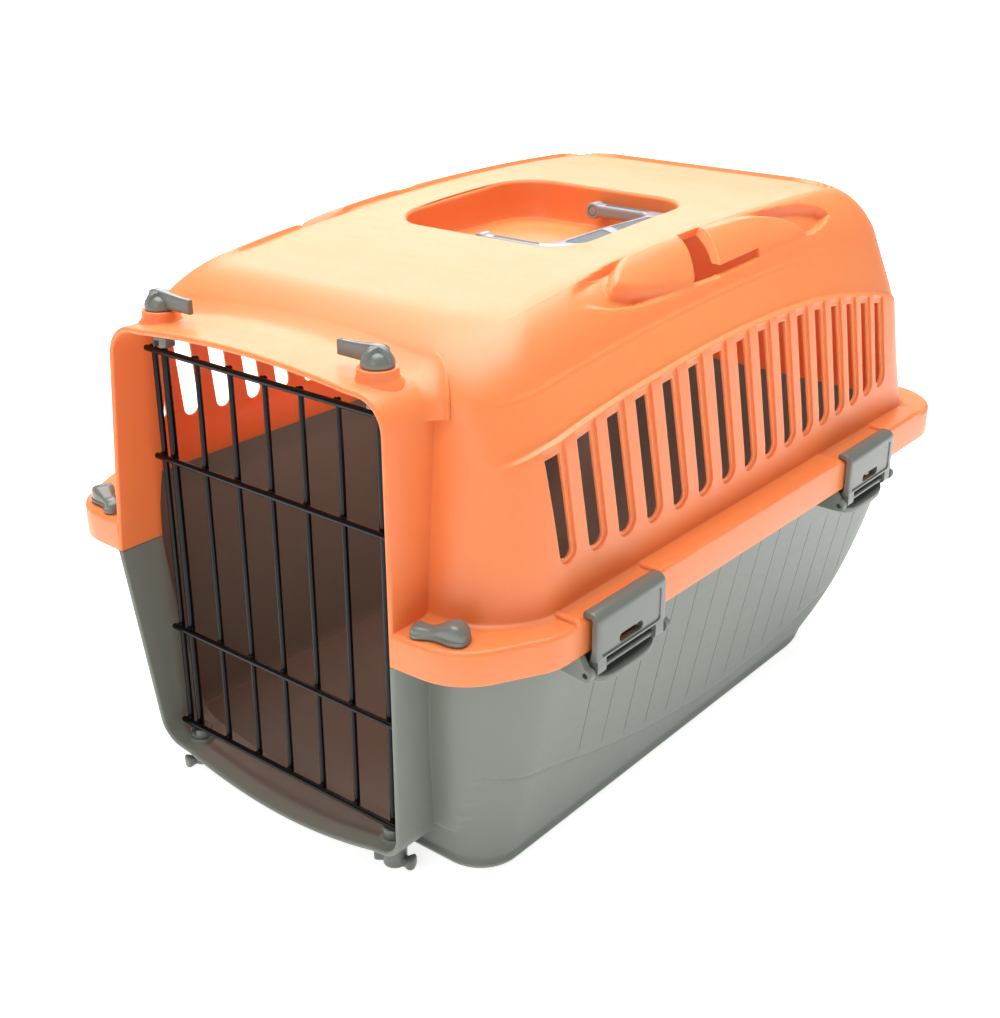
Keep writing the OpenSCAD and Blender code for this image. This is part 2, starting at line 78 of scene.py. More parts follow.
# ---- Properties ----

def length(name, default, description, low=0.0):
    """A length given in millimetres, as a property in metres."""
    return bpy.props.FloatProperty(name=name, default=default * MM, description=description, min=low * MM,
                                   unit="LENGTH", precision=4)


def colour(name, default, description):
    """A colour of red, green and blue from 0 to 1, as a property."""
    return bpy.props.FloatVectorProperty(name=name, default=default, description=description, size=3, min=0,
                                         max=1, subtype="COLOR")


def number(name, default, description, **form):
    """A plain number, as a property."""
    return bpy.props.FloatProperty(name=name, default=default, description=description, **form)


class CarrierSizes(bpy.types.PropertyGroup):
    """Sizes of the visual pieces."""

    length: length("Length", 480, "Overall length from the door frame to the rear of the flange")
    height: length("Height", 300, "Height of the top of the arch")
    arch_y: length("Arch top", 75, "Distance of the arch's highest point behind the middle")
    arch_r: length("Arch radius", 1600, "Radius of the arch of the top, seen from the side")
    split_z: length("Joint height", 136, "Height of the lower edge of the flange")
    flange_h: length("Flange height", 17.5, "Height of the flange round the joint")
    wall: length("Wall", 3, "Thickness of the shells")
    dome_w: length("Dome half width", 149, "Half of the dome's width at its foot")
    neck_w: length("Frame width", 203.4, "Width of the door frame")
    neck_lip: length("Frame lip radius", 1.4, "Rounding of the door frame's front edge")
    shelf_z: length("Shelf height", 263, "Height of the shelf over the door")
    sill_z: length("Sill height", 16, "Height of the sill's ends under the door")
    door_y: length("Door plane", 24, "Distance of the hinge rods behind the front edge")
    rod_x: length("Rod position", 75.5, "Distance of the hinge rods from the middle")
    wire_d: length("Cross wire diameter", 3.4, "Diameter of the door's cross wires")
    bar_d: length("Bar diameter", 3, "Diameter of the door's upright bars")
    bar_pitch: length("Bar pitch", 25, "Distance between the door's upright bars")
    vent_start: length("First vent", -177, "Position of the front vent along the side", -300)
    vent_pitch: length("Vent pitch", 23.2, "Distance from a vent to the next over the front half")
    vent_w: length("Vent width", 9.8, "Width of the rear vents")
    vent_recess: length("Vent recess", 1.3, "Depth of the recess round a vent")
    panel_d: length("Panel depth", 2.6, "Depth of the sunken panel in the top")
    ridge_d: length("Ridge depth", 2.4, "Height of the arched ridge over the vents")
    scoop_d: length("Scoop depth", 5.5, "Depth of the scoops of the seat belt guides")
    well_w: length("Well width", 126, "Width of the handle's well")
    well_l: length("Well length", 125, "Length of the handle's well")
    well_z: length("Well floor", 273, "Height of the floor of the handle's well")
    clip_w: length("Clip width", 60, "Width of a side clip")


class CarrierColours(bpy.types.PropertyGroup):
    """Colours and finish of the materials."""

    orange: colour("Top plastic", (0.83, 0.235, 0.07), "Orange plastic of the upper shell")
    green_grey: colour("Base plastic", (0.165, 0.184, 0.156), "Green-grey plastic of the lower shell")
    knob_grey: colour("Fittings plastic", (0.15, 0.162, 0.142), "Grey plastic of the knobs, locks and clips")
    wire_black: colour("Wire coating", (0.002, 0.0015, 0.0015), "Black coating of the wires")
    silver: colour("Handle", (0.27, 0.275, 0.285), "Silver-grey plastic of the handle")
    inlay: colour("Handle inlay", (0.065, 0.075, 0.085), "Dark grey inlays of the handle")
    floor: colour("Floor", (0.9, 0.9, 0.9), "White floor of the stage")


class CarrierView(bpy.types.PropertyGroup):
    """Camera and lights."""

    azimuth: number("Azimuth", math.radians(39), "Direction of the camera to the right of the front",
                    subtype="ANGLE")
    elevation: number("Elevation", math.radians(23.5), "Height of the camera as an angle", subtype="ANGLE")
    distance: number("Distance", 0.877, "Distance from the camera to its aim", unit="LENGTH")
    aim: bpy.props.FloatVectorProperty(name="Aim", description="Aim of the camera from the carrier's middle",
                                       default=(-0.008, -0.0267, -0.036), size=3, subtype="TRANSLATION")
    lens: number("Lens", 50.3, "Focal length of the camera in millimetres")
    key: number("Top light", 48.0, "Power of the large light overhead in watts")
    back: number("Rear light", 22.0, "Power of the light behind that shines on the top panel in watts")
    fill: number("Front light", 3.5, "Power of the light beside the camera in watts")
    inside: number("Inner light", 0.36,
                   "Power in watts of the light that stands for what passes through the shells")
    ambient: number("Ambient", 0.31, "Strength of the white surroundings")


def sizes():
    """The sizes in millimetres, with the places that follow from them."""
    group = bpy.context.scene.carrier_sizes
    s = SimpleNamespace(**{k: getattr(group, k) / MM for k in CarrierSizes.__annotations__})
    s.front, s.rear = -s.length / 2, s.length / 2
    s.foot_z = s.split_z + s.flange_h
    s.rim_z = s.foot_z - 3.5
    s.flange_ws = (162, 164, 163)  # half widths behind the front, in the middle and at the rear
    s.lean_z, s.ridge_level, s.shoulder_z = s.height - 74, s.height - 60, s.height - 27
    # the door's wires lie behind each other and sink into each other at the welds
    s.rod_d, s.edge_d, sink = 4.0, 3.2, 0.3
    s.rod_y = s.front + s.door_y
    s.cross_y = s.rod_y - (s.rod_d + s.wire_d) / 2 + sink
    s.bar_y = s.cross_y + (s.bar_d + s.wire_d) / 2 - sink
    s.edge_x, s.edge_y = s.rod_x + 7.6, s.cross_y + (s.edge_d + s.wire_d) / 2 - sink
    s.stem_r, s.stem_bore = 3.0, 3.1
    s.lock_x, s.lock_y = s.neck_w / 2 + 26.3, s.front + 13.5
    s.pin_x, s.pin_z, s.clip_ys = 165.0, 127.0, (-143.0, 115.0)
    s.well_y, s.pivot_z = 2.5, s.height - 14
    return s


# ---- Mesh tools ----

def smooth(a, b, x):
    """A smooth step from 0 at a to 1 at b."""
    t = np.clip((x - a) / (b - a), 0, 1)
    return t * t * (3 - 2 * t)


def six_volumes(points, quads, others):
    """Six times the volume inside the faces: the triple products of their triangles, added up."""
    a, b, c, d = (points[quads[:, k]] for k in range(4))
    total = np.einsum("ij,ij->", a, np.cross(b, c)) + np.einsum("ij,ij->", a, np.cross(c, d))
    for face in others:
        p = points[np.asarray(face)]
        total += np.einsum("ij,ij->", np.broadcast_to(p[0], p[2:].shape), np.cross(p[1:-1], p[2:]))
    return total


def mesh_object(name, points, quads, others=()):
    """A mesh object of quads and other polygons, turned so that its faces point outwards."""
    quads = np.asarray(quads, np.int64).reshape(-1, 4)
    step = 1 if six_volumes(points, quads, others) > 0 else -1
    loops = np.concatenate([quads[:, ::step].ravel()] + [np.asarray(f)[::step] for f in others])
    counts = np.concatenate([np.full(len(quads), 4), [len(f) for f in others]]).astype(np.int32)
    mesh = bpy.data.meshes.new(name)
    mesh.vertices.add(len(points))
    mesh.vertices.foreach_set("co", (np.asarray(points) * MM).astype(np.float32).ravel())
    mesh.loops.add(len(loops))
    mesh.loops.foreach_set("vertex_index", loops.astype(np.int32))
    mesh.polygons.add(len(counts))
    mesh.polygons.foreach_set("loop_start", np.concatenate([[0], np.cumsum(counts)[:-1]]).astype(np.int32))
    mesh.update(calc_edges=True)
    mesh.validate()
    obj = bpy.data.objects.new(name, mesh)
    bpy.context.scene.collection.objects.link(obj)
    return obj


def loft_faces(n, m, caps, start=0):
    """Quads between n closed rings of m points, and end faces. Strips join the points of mirrored pairs."""
    i, j = np.meshgrid(np.arange(n - 1), np.arange(m), indexing="ij")
    k = (j + 1) % m
    quads = [np.stack([i * m + j, i * m + k, (i + 1) * m + k, (i + 1) * m + j], -1).reshape(-1, 4)]
    others = []
    if caps == "strips":
        a = np.arange(m // 2 - 1)
        strip = np.stack([a, m - 1 - a, m - 2 - a, a + 1], -1)
        quads += [strip, strip[:, ::-1] + (n - 1) * m]
    else:
        others = [np.arange(m)[::-1] + start, np.arange(m) + (n - 1) * m + start]
    return np.concatenate(quads) + start, others


def loft(name, rings, caps="strips"):
    """A closed solid through rings, an array of ring, point and coordinate."""
    rings = np.asarray(rings, float)
    n, m = rings.shape[:2]
    return mesh_object(name, rings.reshape(-1, 3), *loft_faces(n, m, caps))


def lofts(name, group):
    """One object of several closed solids that don't touch, each through rings with flat ends."""
    points, quads, others, start = [], [], [], 0
    for rings in group:
        rings = np.asarray(rings, float)
        n, m = rings.shape[:2]
        q, o = loft_faces(n, m, "flat", start)
        p = rings.reshape(-1, 3)
        if six_volumes(p, q - start, [f - start for f in o]) < 0:
            q, o = q[:, ::-1], [f[::-1] for f in o]
        points.append(p)
        quads.append(q)
        others += o
        start += n * m
    return mesh_object(name, np.concatenate(points), np.concatenate(quads), others)


def combined(target, operation, *others):
    """target after a boolean operation with each of the others in turn. The others are used up."""
    for other in others:
        modifier = target.modifiers.new("solid", "BOOLEAN")
        modifier.operation, modifier.solver, modifier.object = operation, "MANIFOLD", other
    graph = bpy.context.evaluated_depsgraph_get()
    graph.update()
    mesh = bpy.data.meshes.new_from_object(target.evaluated_get(graph), depsgraph=graph)
    target.modifiers.clear()
    target.data = mesh
    for other in others:
        bpy.data.objects.remove(other)
    if not len(mesh.polygons):
        raise RuntimeError(f"{target.name}: nothing is left after {operation}")
    return target


def joined(target, *others):
    """target with the others added to it."""
    return combined(target, "UNION", *others)


def cut(target, *others):
    """target with the others cut from it."""
    return combined(target, "DIFFERENCE", *others)


def moved(obj, turn=0.0, place=(0, 0, 0), mirror=False):
    """Turns the mesh about Z by an angle in degrees, mirrors it in X on request and moves it."""
    mesh = obj.data
    p = np.zeros(len(mesh.vertices) * 3, np.float32)
    mesh.vertices.foreach_get("co", p)
    p = p.reshape(-1, 3)
    c, s = math.cos(math.radians(turn)), math.sin(math.radians(turn))
    p = p @ np.array([[c, s, 0], [-s, c, 0], [0, 0, 1]]) + np.array(place) * MM
    if mirror:
        p[:, 0] *= -1
        mesh.flip_normals()
    mesh.vertices.foreach_set("co", p.astype(np.float32).ravel())
    mesh.update()
    return obj


def placed(obj, body, material, nodes=(), angle=32):
    """Finishes a piece: shading, material, the body it rides on and the CAD nodes it stands for."""
    obj.data.materials.clear()
    obj.data.materials.append(material)
    obj.data.shade_smooth()
    obj.data.set_sharp_from_angle(angle=math.radians(angle))
    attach(obj, body)
    if nodes:
        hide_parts(*nodes)
    return obj


# ---- Outlines ----

def rounded(points, shift=0.0, steps=6):
    """An anticlockwise outline of [u, v, radius] points moved inwards by shift, with its corners rounded."""
    p = np.array([q[:2] for q in points], float)
    r = [q[2] if len(q) > 2 else 0 for q in points]
    before, after = np.roll(p, 1, 0), np.roll(p, -1, 0)
    d = (p - before) / np.linalg.norm(p - before, axis=1)[:, None]
    e = (after - p) / np.linalg.norm(after - p, axis=1)[:, None]
    m, n = d[:, ::-1] * [-1, 1], e[:, ::-1] * [-1, 1]
    q = p + shift * (m + n) / (1 + np.sum(m * n, 1))[:, None]
    out = []
    for i, radius in enumerate(r):
        if radius <= 0:
            out.append(q[i][None])
            continue
        turn = d[i, 0] * e[i, 1] - d[i, 1] * e[i, 0]
        side = 1 if turn > 0 else -1
        radius = max(radius - side * shift, 0.3)
        half = math.atan2(abs(turn), d[i] @ e[i]) / 2
        centre = q[i] - d[i] * radius * math.tan(half) + side * radius * m[i]
        first = math.atan2(*(-side * m[i])[::-1])
        a = first + side * 2 * half * np.linspace(0, 1, steps + 1)
        out.append(centre + radius * np.stack([np.cos(a), np.sin(a)], -1))
    return np.concatenate(out)


def oblong(u0, u1, v0, v1, radius):
    """A rectangle as [u, v, radius] corners."""
    return [[u0, v0, radius], [u1, v0, radius], [u1, v1, radius], [u0, v1, radius]]


def mirrored(half):
    """A half outline given for u > 0, closed by its mirror image."""
    return list(half) + [[-q[0], *q[1:]] for q in half[::-1]]


def slab(points, z0, z1, low=0.0, high=0.0, steps=6, shift=0.0, turns=5):
    """Rings of an upright slab with its lower and upper edges rounded by the radii low and high."""
    a = np.linspace(0, math.pi / 2, turns)
    levels = [(z0 + low * (1 - math.cos(t)), low * (1 - math.sin(t))) for t in a] if low > 0 else [(z0, 0)]
    edge = [(z1 - high * (1 - math.sin(t)), high * (1 - math.cos(t))) for t in a] if high > 0 else [(z1, 0)]
    rings = []
    for z, inward in levels + edge:
        q = rounded(points, shift + inward, steps)
        rings.append(np.column_stack([q, np.full(len(q), z)]))
    return np.array(rings)


def turned(profile, n=40):
    """Rings of a body of revolution about Z from (radius, height) points. A radius of 0 closes an end."""
    a = np.linspace(0, 2 * math.pi, n, endpoint=False)
    r, z = np.array(profile, float).T[:, :, None]
    r = np.maximum(r, TIP)
    return np.stack([r * np.cos(a), r * np.sin(a), np.broadcast_to(z, (len(z), n))], -1)


def turned_y(profile, x, z, n=40):
    """Rings of a body of revolution about the line along Y through x and z, from (radius, y) points."""
    a = np.linspace(0, 2 * math.pi, n, endpoint=False)
    return [at_y(np.column_stack([x + r * np.cos(a), z + r * np.sin(a)]), y) for r, y in profile]


def at_y(outline, y):
    """An (x, z) outline as a ring at y, which is one number or one for each point."""
    return np.column_stack([outline[:, 0], np.broadcast_to(y, len(outline)), outline[:, 1]])


def peg(name, radius, low, high, place=(0, 0, 0)):
    """A plain upright cylinder between two heights, as a stem or as the cutter of a bore."""
    profile = [(0, low), (radius, low), (radius, high), (0, high)]
    return moved(loft(name, turned(profile, 24), "flat"), place=place)


def round_edge(r, z, radius, upper=True, n=5):
    """Points of a quarter circle that rounds the edge at (r, z) of a turned body."""
    a = np.linspace(0, math.pi / 2, n)
    if upper:
        return list(zip(r - radius * (1 - np.cos(a)), z - radius * (1 - np.sin(a))))
    return list(zip(r - radius * (1 - np.sin(a)), z + radius * (1 - np.cos(a))))


def tube(path, radius, n=16):
    """Rings of a wire along a path with hemispherical ends: circles square to the path's direction."""
    path = np.asarray(path, float)
    t = np.gradient(path, axis=0)
    t /= np.linalg.norm(t, axis=1)[:, None]
    ref = np.array([0, 1, 0]) if abs(t[0, 1]) < 0.9 else np.array([1, 0, 0])
    u = np.cross(t, ref)
    u /= np.linalg.norm(u, axis=1)[:, None]
    v = np.cross(t, u)
    a = np.linspace(0, math.pi / 2, 5)[:-1]
    shrink = np.concatenate([np.sin(a) + 0.02, np.ones(len(path)), (np.sin(a) + 0.02)[::-1]])
    along = np.concatenate([-np.cos(a), np.zeros(len(path)), np.cos(a)[::-1]]) * radius
    k = np.concatenate([np.zeros(4, int), np.arange(len(path)), np.full(4, len(path) - 1)])
    b = np.linspace(0, 2 * math.pi, n, endpoint=False)
    ring = u[k][:, None] * np.cos(b)[:, None] + v[k][:, None] * np.sin(b)[:, None]
    return (path[k] + t[k] * along[:, None])[:, None] + ring * (radius * shrink)[:, None, None]


def rod(a, b, radius, steps=12, n=16):
    """Rings of a straight wire from a to b."""
    return tube(np.linspace(a, b, steps), radius, n)


def ellipse(a, power):
    """Cosine and sine of the angles a, raised to a power: the lower it is, the squarer is their circle."""
    return [np.sign(v) * np.abs(v) ** power for v in (np.cos(a), np.sin(a))]


def sections(x, width, height, base, power=0.75, n=28):
    """Rings across X that stand on base, from their half widths, heights and the power of their ellipse."""
    c, s = ellipse(np.linspace(0, 2 * math.pi, n, endpoint=False) + math.pi / n, power)
    x, width, height = (np.asarray(v, float)[:, None] for v in (x, width, height))
    return np.stack([np.broadcast_to(x, (len(x), n)), width * c, base + height * (s + 1) / 2], -1)


# ---- Shapes of the shells ----

def top_z(s, y):
    """Height of the arched top at y: a parabola about its highest point."""
    return s.height - (y - s.arch_y) ** 2 / (2 * s.arch_r)


def half_ring(w, yf, yr, rf, rr, counts):
    """Right half of rounded rectangles, one a row, from the front middle to the rear middle."""
    near = 4.0  # the first points stand this far from the middle, so that the two halves don't meet
    w, yf, yr, rf, rr = (np.asarray(v, float)[:, None] for v in (w, yf, yr, rf, rr))
    t = np.linspace(0, 1, counts[0] + 1)[None, :-1]
    q = np.linspace(0, math.pi / 2, counts[1] + 1)[None]
    u = np.linspace(0, 1, counts[2] + 1)[None, 1:-1]
    x = np.concatenate([near + (w - rf - near) * t, w - rf + rf * np.sin(q), w + 0 * u,
                        w - rr + rr * np.cos(q), near + (w - rr - near) * (1 - t - t[:, 1:2])], 1)
    y = np.concatenate([yf + 0 * t, yf + rf - rf * np.cos(q), yf + rf + (yr - rr - yf - rf) * u,
                        yr - rr + rr * np.sin(q), yr + 0 * t], 1)
    return x, y


def bend(a, b, c, s):
    """Quadratic curve from a to c, drawn towards b."""
    return (1 - s) ** 2 * a + 2 * s * (1 - s) * b + s ** 2 * c


def dome_levels(s, bottom, rows, flare):
    """Levels of the dome: height, half width, front, rear and corner radii.

    Walls that lean in from the foot, lean more above the ridge, then a shoulder that bends into the top. The
    foot flares out in a small concave arc of radius flare."""
    key = np.array([[s.foot_z, s.dome_w, s.front + 25, s.rear - 15, 42, 40],
                    [s.ridge_level, s.dome_w - 6, s.front + 34, s.rear - 33, 40, 37],
                    [s.shoulder_z, s.dome_w - 22, s.front + 39, s.rear - 38.5, 36, 34]])
    z = np.concatenate([[bottom], s.foot_z + flare * np.linspace(0, 1, 4)[:-1] if flare else [s.foot_z],
                        np.linspace(s.foot_z + max(flare, 3), s.lean_z, rows[0]),
                        np.linspace(s.lean_z, s.shoulder_z, rows[1] + 1)[1:]])
    level = lambda h: np.array([np.interp(h, key[:, 0], key[:, k]) for k in range(1, 6)])
    eased = np.mean([level(z - 4), level(z), level(z + 4)], 0)
    eased[:, -2], eased[:, -1] = level(z[-2]), key[2, 1:]
    wall = np.column_stack([z, eased.T])
    h = np.clip(s.foot_z + flare - z, 0, flare)
    out = flare - np.sqrt(np.maximum(flare ** 2 - h ** 2, 0)) if flare else 0 * z
    wall[:, 1] += out
    wall[:, 2] -= out
    wall[:, 3] += out
    q = np.linspace(0, 1, rows[2] + 1)[1:]
    shoulder = np.column_stack([bend(*v, q) for v in (
        (s.shoulder_z, s.height, s.height), (s.dome_w - 22, s.dome_w - 35, s.dome_w - 61),
        (s.front + 39, s.front + 50, s.front + 85), (s.rear - 38.5, s.rear - 45, s.rear - 68),
        (36, 34, 26), (34, 32, 26))])
    return np.concatenate([wall, shoulder])


def dome_grid(s, t, bottom, rows, counts, flare=0.0):
    """Points of the dome moved inwards by t.

    The level where the walls bend follows the ridge, and the levels over it draw together towards the ends,
    under the arch."""
    v = dome_levels(s, bottom, rows, flare)
    x, y = half_ring(v[:, 1] - t, v[:, 2] + t, v[:, 3] - t, v[:, 4] - t, v[:, 5] - t, counts)
    x, y = np.concatenate([x, -x[:, ::-1]], 1), np.concatenate([y, y[:, ::-1]], 1)
    z = v[:, :1] + 0 * y
    key, share = s.ridge_level, (top_z(s, y) - s.foot_z) / (s.height - s.foot_z)
    wall = s.foot_z + (z - s.foot_z) * (ridge_z(y) - s.foot_z) / (key - s.foot_z)
    upper = s.foot_z + (s.shoulder_z - s.foot_z) * share
    lean = ridge_z(y) + (z - key) / (s.shoulder_z - key) * (upper - ridge_z(y))
    up = np.where(z <= key, wall, np.where(z <= s.shoulder_z, lean, s.foot_z + (z - s.foot_z) * share))
    z = np.where(z <= s.foot_z, z, up) - t * smooth(s.shoulder_z, s.height - 12, v[:, :1])
    return np.stack([x, y, z], -1)


def grid_normals(p):
    """Outward unit normals of a grid of rings."""
    along = np.roll(p, -1, 1) - np.roll(p, 1, 1)
    n = np.cross(along, np.gradient(p, axis=0))
    n /= np.maximum(np.linalg.norm(n, axis=2), 1e-9)[..., None]
    return n if np.mean(n * (p - p.mean((0, 1)))) > 0 else -n


def ridge_z(y):
    """Height of the arched ridge over the vents."""
    key = np.array([[-230, 212], [-212, 221], [-200, 227], [-190, 231], [-181, 235], [-165, 239],
                    [-143, 242.6], [-119, 245.6], [-96, 247.8], [-50, 251.6], [-8, 253.4], [28, 253.4],
                    [66, 251.7], [86, 249.6], [106, 247], [133, 242], [150, 238.6], [164, 235.4],
                    [178, 231.6], [200, 224], [230, 212]])
    return np.interp(y, *key.T)


def side_mask(n, y):
    """1 on the dome's sides, fading to 0 round its corners."""
    return smooth(0.35, 0.85, np.abs(n[..., 0])) * smooth(-222, -206, y) * (1 - smooth(172, 194, y))


def belt_scoop(s, p, grow=0.0):
    """Share of the scoop of a belt guide and of its two tongues at points of the dome.

    Across is the distance up the shoulder from the scoop's lower edge. The scoop lies between two curves over
    y. A tongue fills it from the gap outwards, and its upper edge falls to the lower one in a blunt oval."""
    x, y = np.abs(p[..., 0]), p[..., 1]
    across = ((124.5 - x) * 25 + (p[..., 2] + s.height - top_z(s, y) - 277.3) * 21.5) / 33
    low = np.interp(y, [-120, -111, -95, -76, -50, -27, -3, 37, 88, 112, 124, 132],
                    [22, 17, 10.5, 5.5, 2.4, 0.8, 0, 0.8, 2.3, 5, 8, 12])
    high = np.interp(y, [-120, -109, -90, -67, -33, -9, 13, 48, 79, 105, 125, 132],
                     [23, 30, 35, 37, 36, 33.5, 31.5, 29.5, 28, 26, 20, 12.5])
    scoop = smooth(0, 3.6, np.minimum(across - low, high - across) + grow)
    scoop *= smooth(-118 - grow, -84 - grow, y)
    ahead = y < -7
    u = np.clip(np.where(ahead, (-16 - y) / 71, (y - 2) / 96), 0, 1)
    foot = low + np.where(ahead, 9 * u ** 3, 0)
    head = foot + (high + 3.5 - foot) * (1 - u ** 3) ** 0.5
    edge = np.minimum(across - foot + 4 * (1 - u * ahead), 2.2 * (head - across)) - 0.9 * grow
    tongue = np.sqrt(smooth(-0.3, 9.5, edge)) * (u < 1)
    return scoop, tongue


def dome_relief(s, p, n):
    """Outward shift of the dome's surface: ridge over the vents, sunken top panel and belt scoops."""
    x, y, z = np.abs(p[..., 0]), p[..., 1], p[..., 2]
    r = ridge_z(y)
    below = (1 - smooth(r - 1.3, r + 1.0, z)) * smooth(s.foot_z + 2, s.foot_z + 30, z)
    ridge = s.ridge_d * side_mask(n, y) * (below - 0.4)
    inside = (1 - smooth(98.7, 99.1, x)) * (1 - smooth(175.2, 175.6, y)) * smooth(-166, -130, y)
    panel = -s.panel_d * inside * smooth(s.shoulder_z, s.height - 20, z + s.height - top_z(s, y))
    scoop, tongue = belt_scoop(s, p)
    return ridge + panel + s.scoop_d * scoop * (1.12 * tongue - 1) * (y < SCOOP_END)


def cavity_relief(s, p, n):
    """Outward shift of the dome's inner surface: thinner walls round the vents, and room under the scoops."""
    y, z = p[..., 1], p[..., 2]
    r = ridge_z(y)
    thin = side_mask(n, y) * smooth(s.foot_z + 8, s.foot_z + 16, z) * (1 - smooth(r - 4, r + 4, z))
    scoop, tongue = belt_scoop(s, p, 4.0)
    return 1.7 * thin + s.scoop_d * (0.95 * tongue - scoop) * (y < SCOOP_END)


def neck_half(s):
    """Right half of the door frame's outline from the front, as [x, z, radius] from the sill to the shelf."""
    x = np.linspace(3, 72, 12)
    sill = [[v, s.sill_z - 12.5 * (1 - (v / 80) ** 2)] for v in x]
    shelf = [[v, s.shelf_z + 5 * (1 - (v / 80) ** 2)] for v in x[::-1]]
    w = s.neck_w / 2
    return sill + [[w - 9.9, s.sill_z, 16], [w, s.split_z], [w - 5.8, s.shelf_z, 18]] + shelf


def neck_rings(s, levels, back):
    """Rings of the door frame from levels of (inward shift, distance behind the raked front), on to back."""
    rings = []
    for inward, depth in levels:
        q = rounded(mirrored(neck_half(s)), inward, 8)
        y = np.interp(q[:, 1], [0, s.split_z, s.height], [s.front + 11.6, s.front, s.front + 7]) + depth
        rings.append(at_y(q, y))
    end = rings[-1].copy()
    end[:, 1] = back
    steps = [rings[-1] + (end - rings[-1]) * t for t in (0.2, 0.4, 0.6, 0.8, 1)]
    return np.array(rings + steps)


def neck_outer(s, name):
    """The door frame as a block with a rounded front edge."""
    return loft(name, neck_rings(s, front_edge(s), s.front + 55))


def neck_inner(s, name, back):
    """The space inside the door frame, which widens over the rounded front edge."""
    levels = [(s.wall - s.neck_lip, -4)] + [(s.wall - inward, depth) for inward, depth in front_edge(s)]
    return loft(name, neck_rings(s, levels, back))


def front_edge(s):
    """The quarter circle of the front edge, as (inward shift, distance behind the front)."""
    a = np.linspace(0, math.pi / 2, 6)
    return [(s.neck_lip * (1 - math.sin(t)), s.neck_lip * (1 - math.cos(t))) for t in a]


def half_frame(s, name, low, high):
    """The part of the door frame's block between two heights."""
    room = block(name, (-150, s.front - 10, low), (150, s.front + 80, high))
    return combined(neck_outer(s, "frame"), "INTERSECT", room)


def block(name, low, high):
    """A box between two corners."""
    x0, y0, z0 = low
    x1, y1, z1 = high
    ring = np.array([[x0, y0], [x1, y0], [x1, y1], [x0, y1]], float)
    return loft(name, [np.column_stack([ring, np.full(4, z)]) for z in (z0, z1)], "flat")


def flange_half(s):
    """Right half of the flange's outline, as [x, y, radius] from the front to the rear."""
    w = s.neck_w / 2
    front, middle, rear = s.flange_ws
    return [[4, s.front], [w - 4, s.front], [w + 36, s.front + 1, 34], [front, s.front + 46, 30],
            [middle, s.rear - 130], [rear, s.rear, 42], [4, s.rear]]


def flange(s, name, z0, z1, low, high, shift=0.0):
    """A slab with the outline of the flange and rounded edges."""
    return loft(name, slab(mirrored(flange_half(s)), z0, z1, low, high, 10, shift))


def wall_fillet(s, name, radius):
    """Concave fillet between the door frame and the dome's front wall.

    At each point of the frame's outline its section is a hollow quarter circle, from the frame at radius
    before the wall to the wall at radius outside the frame, closed behind by three straight sides."""
    grid = dome_grid(s, 0, s.foot_z, (20, 12, 24), (2, 2, 2, 2, 2))
    z, front = grid[:, 0, 2], grid[:, 0, 1]
    full = rounded(mirrored(neck_half(s)), 0, 10)
    outer = rounded(mirrored(neck_half(s)), -radius, 10)
    keep = full[:, 1] > s.rim_z
    full, outer = full[keep], outer[keep]
    order = np.argsort(-np.arctan2(full[:, 1] - 200, full[:, 0]) + 10 * (full[:, 1] < s.rim_z))
    full, outer = full[order], outer[order]
    y0, y1 = (np.interp(outline[:, 1], z, front) for outline in (full, outer))
    rings = []
    for t in np.linspace(0, math.pi / 2, 8):
        out = 1 - math.cos(t)
        rings.append(at_y(full + (outer - full) * out, y0 + (y1 - y0) * out - radius * (1 - math.sin(t))))
    inward, sink = full - (outer - full) * 0.12, 1.4
    rings += [at_y(outer, y1 + sink), at_y(inward, y0 + sink), at_y(inward, y0 - radius)]
    return loft(name, np.array(rings).transpose(1, 0, 2), "flat")


def well_outline(s, grow):
    """Outline of the handle's well, as [x, y, radius]."""
    w, l, y = s.well_w / 2 + grow, s.well_l / 2 + grow, s.well_y
    return [[4, y - l], [w, y - l, 25 + grow], [w, y + l, 25 + grow], [4, y + l]]


def well_rings(s, grow, levels):
    """Rings of the well from levels of (shift outwards, height, share of the arch that it follows)."""
    rings = []
    for shift, z, share in levels:
        q = rounded(mirrored(well_outline(s, grow + shift)), 0, 10)
        drop = share * (s.height - top_z(s, q[:, 1]))
        rings.append(np.column_stack([q, z - drop]))
    return np.array(rings)


def prism_x(outline, x0, x1):
    """Rings of a prism along X over a (y, z) outline."""
    outline = np.asarray(outline, float)
    return [np.column_stack([np.full(len(outline), x), outline]) for x in (x0, x1)]


def vent_outline(s, i, left=0.0, right=0.0, below=0.0, above=0.0):
    """Outline of a vent: a slanted top parallel to the ridge, sides that lean forwards and a round bottom.

    The pitch narrows over the rear half, and the width shrinks from the second vent on."""
    rear = max(i - 7, 0)
    y = s.vent_start + s.vent_pitch * i - 0.23 * rear * (rear + 3) + (1.2 if i == 0 else 0)
    w = s.vent_w + (2.6 * math.exp(-i / 5) if i else -0.4)
    lean = 12 - 0.1 * (i - 8) ** 2
    a, b = y - w / 2 - left, y + w / 2 + right
    low = s.foot_z + 20.5 + (y + lean + 10) ** 2 / 4500 - below
    r = (b - a) / 2
    t = np.linspace(math.pi, 2 * math.pi, 13)
    bottom = np.column_stack([(a + b) / 2 + lean + r * np.cos(t), low + r + r * np.sin(t)])
    tops = [[v, ridge_z(v) - 5.6 + above] for v in (b, a)]
    return np.concatenate([bottom, tops])


def vents(s, x0, x1, **grow):
    """Prisms of all the vents between x0 and x1."""
    return [prism_x(vent_outline(s, i, **grow), x0, x1) for i in range(VENTS)]


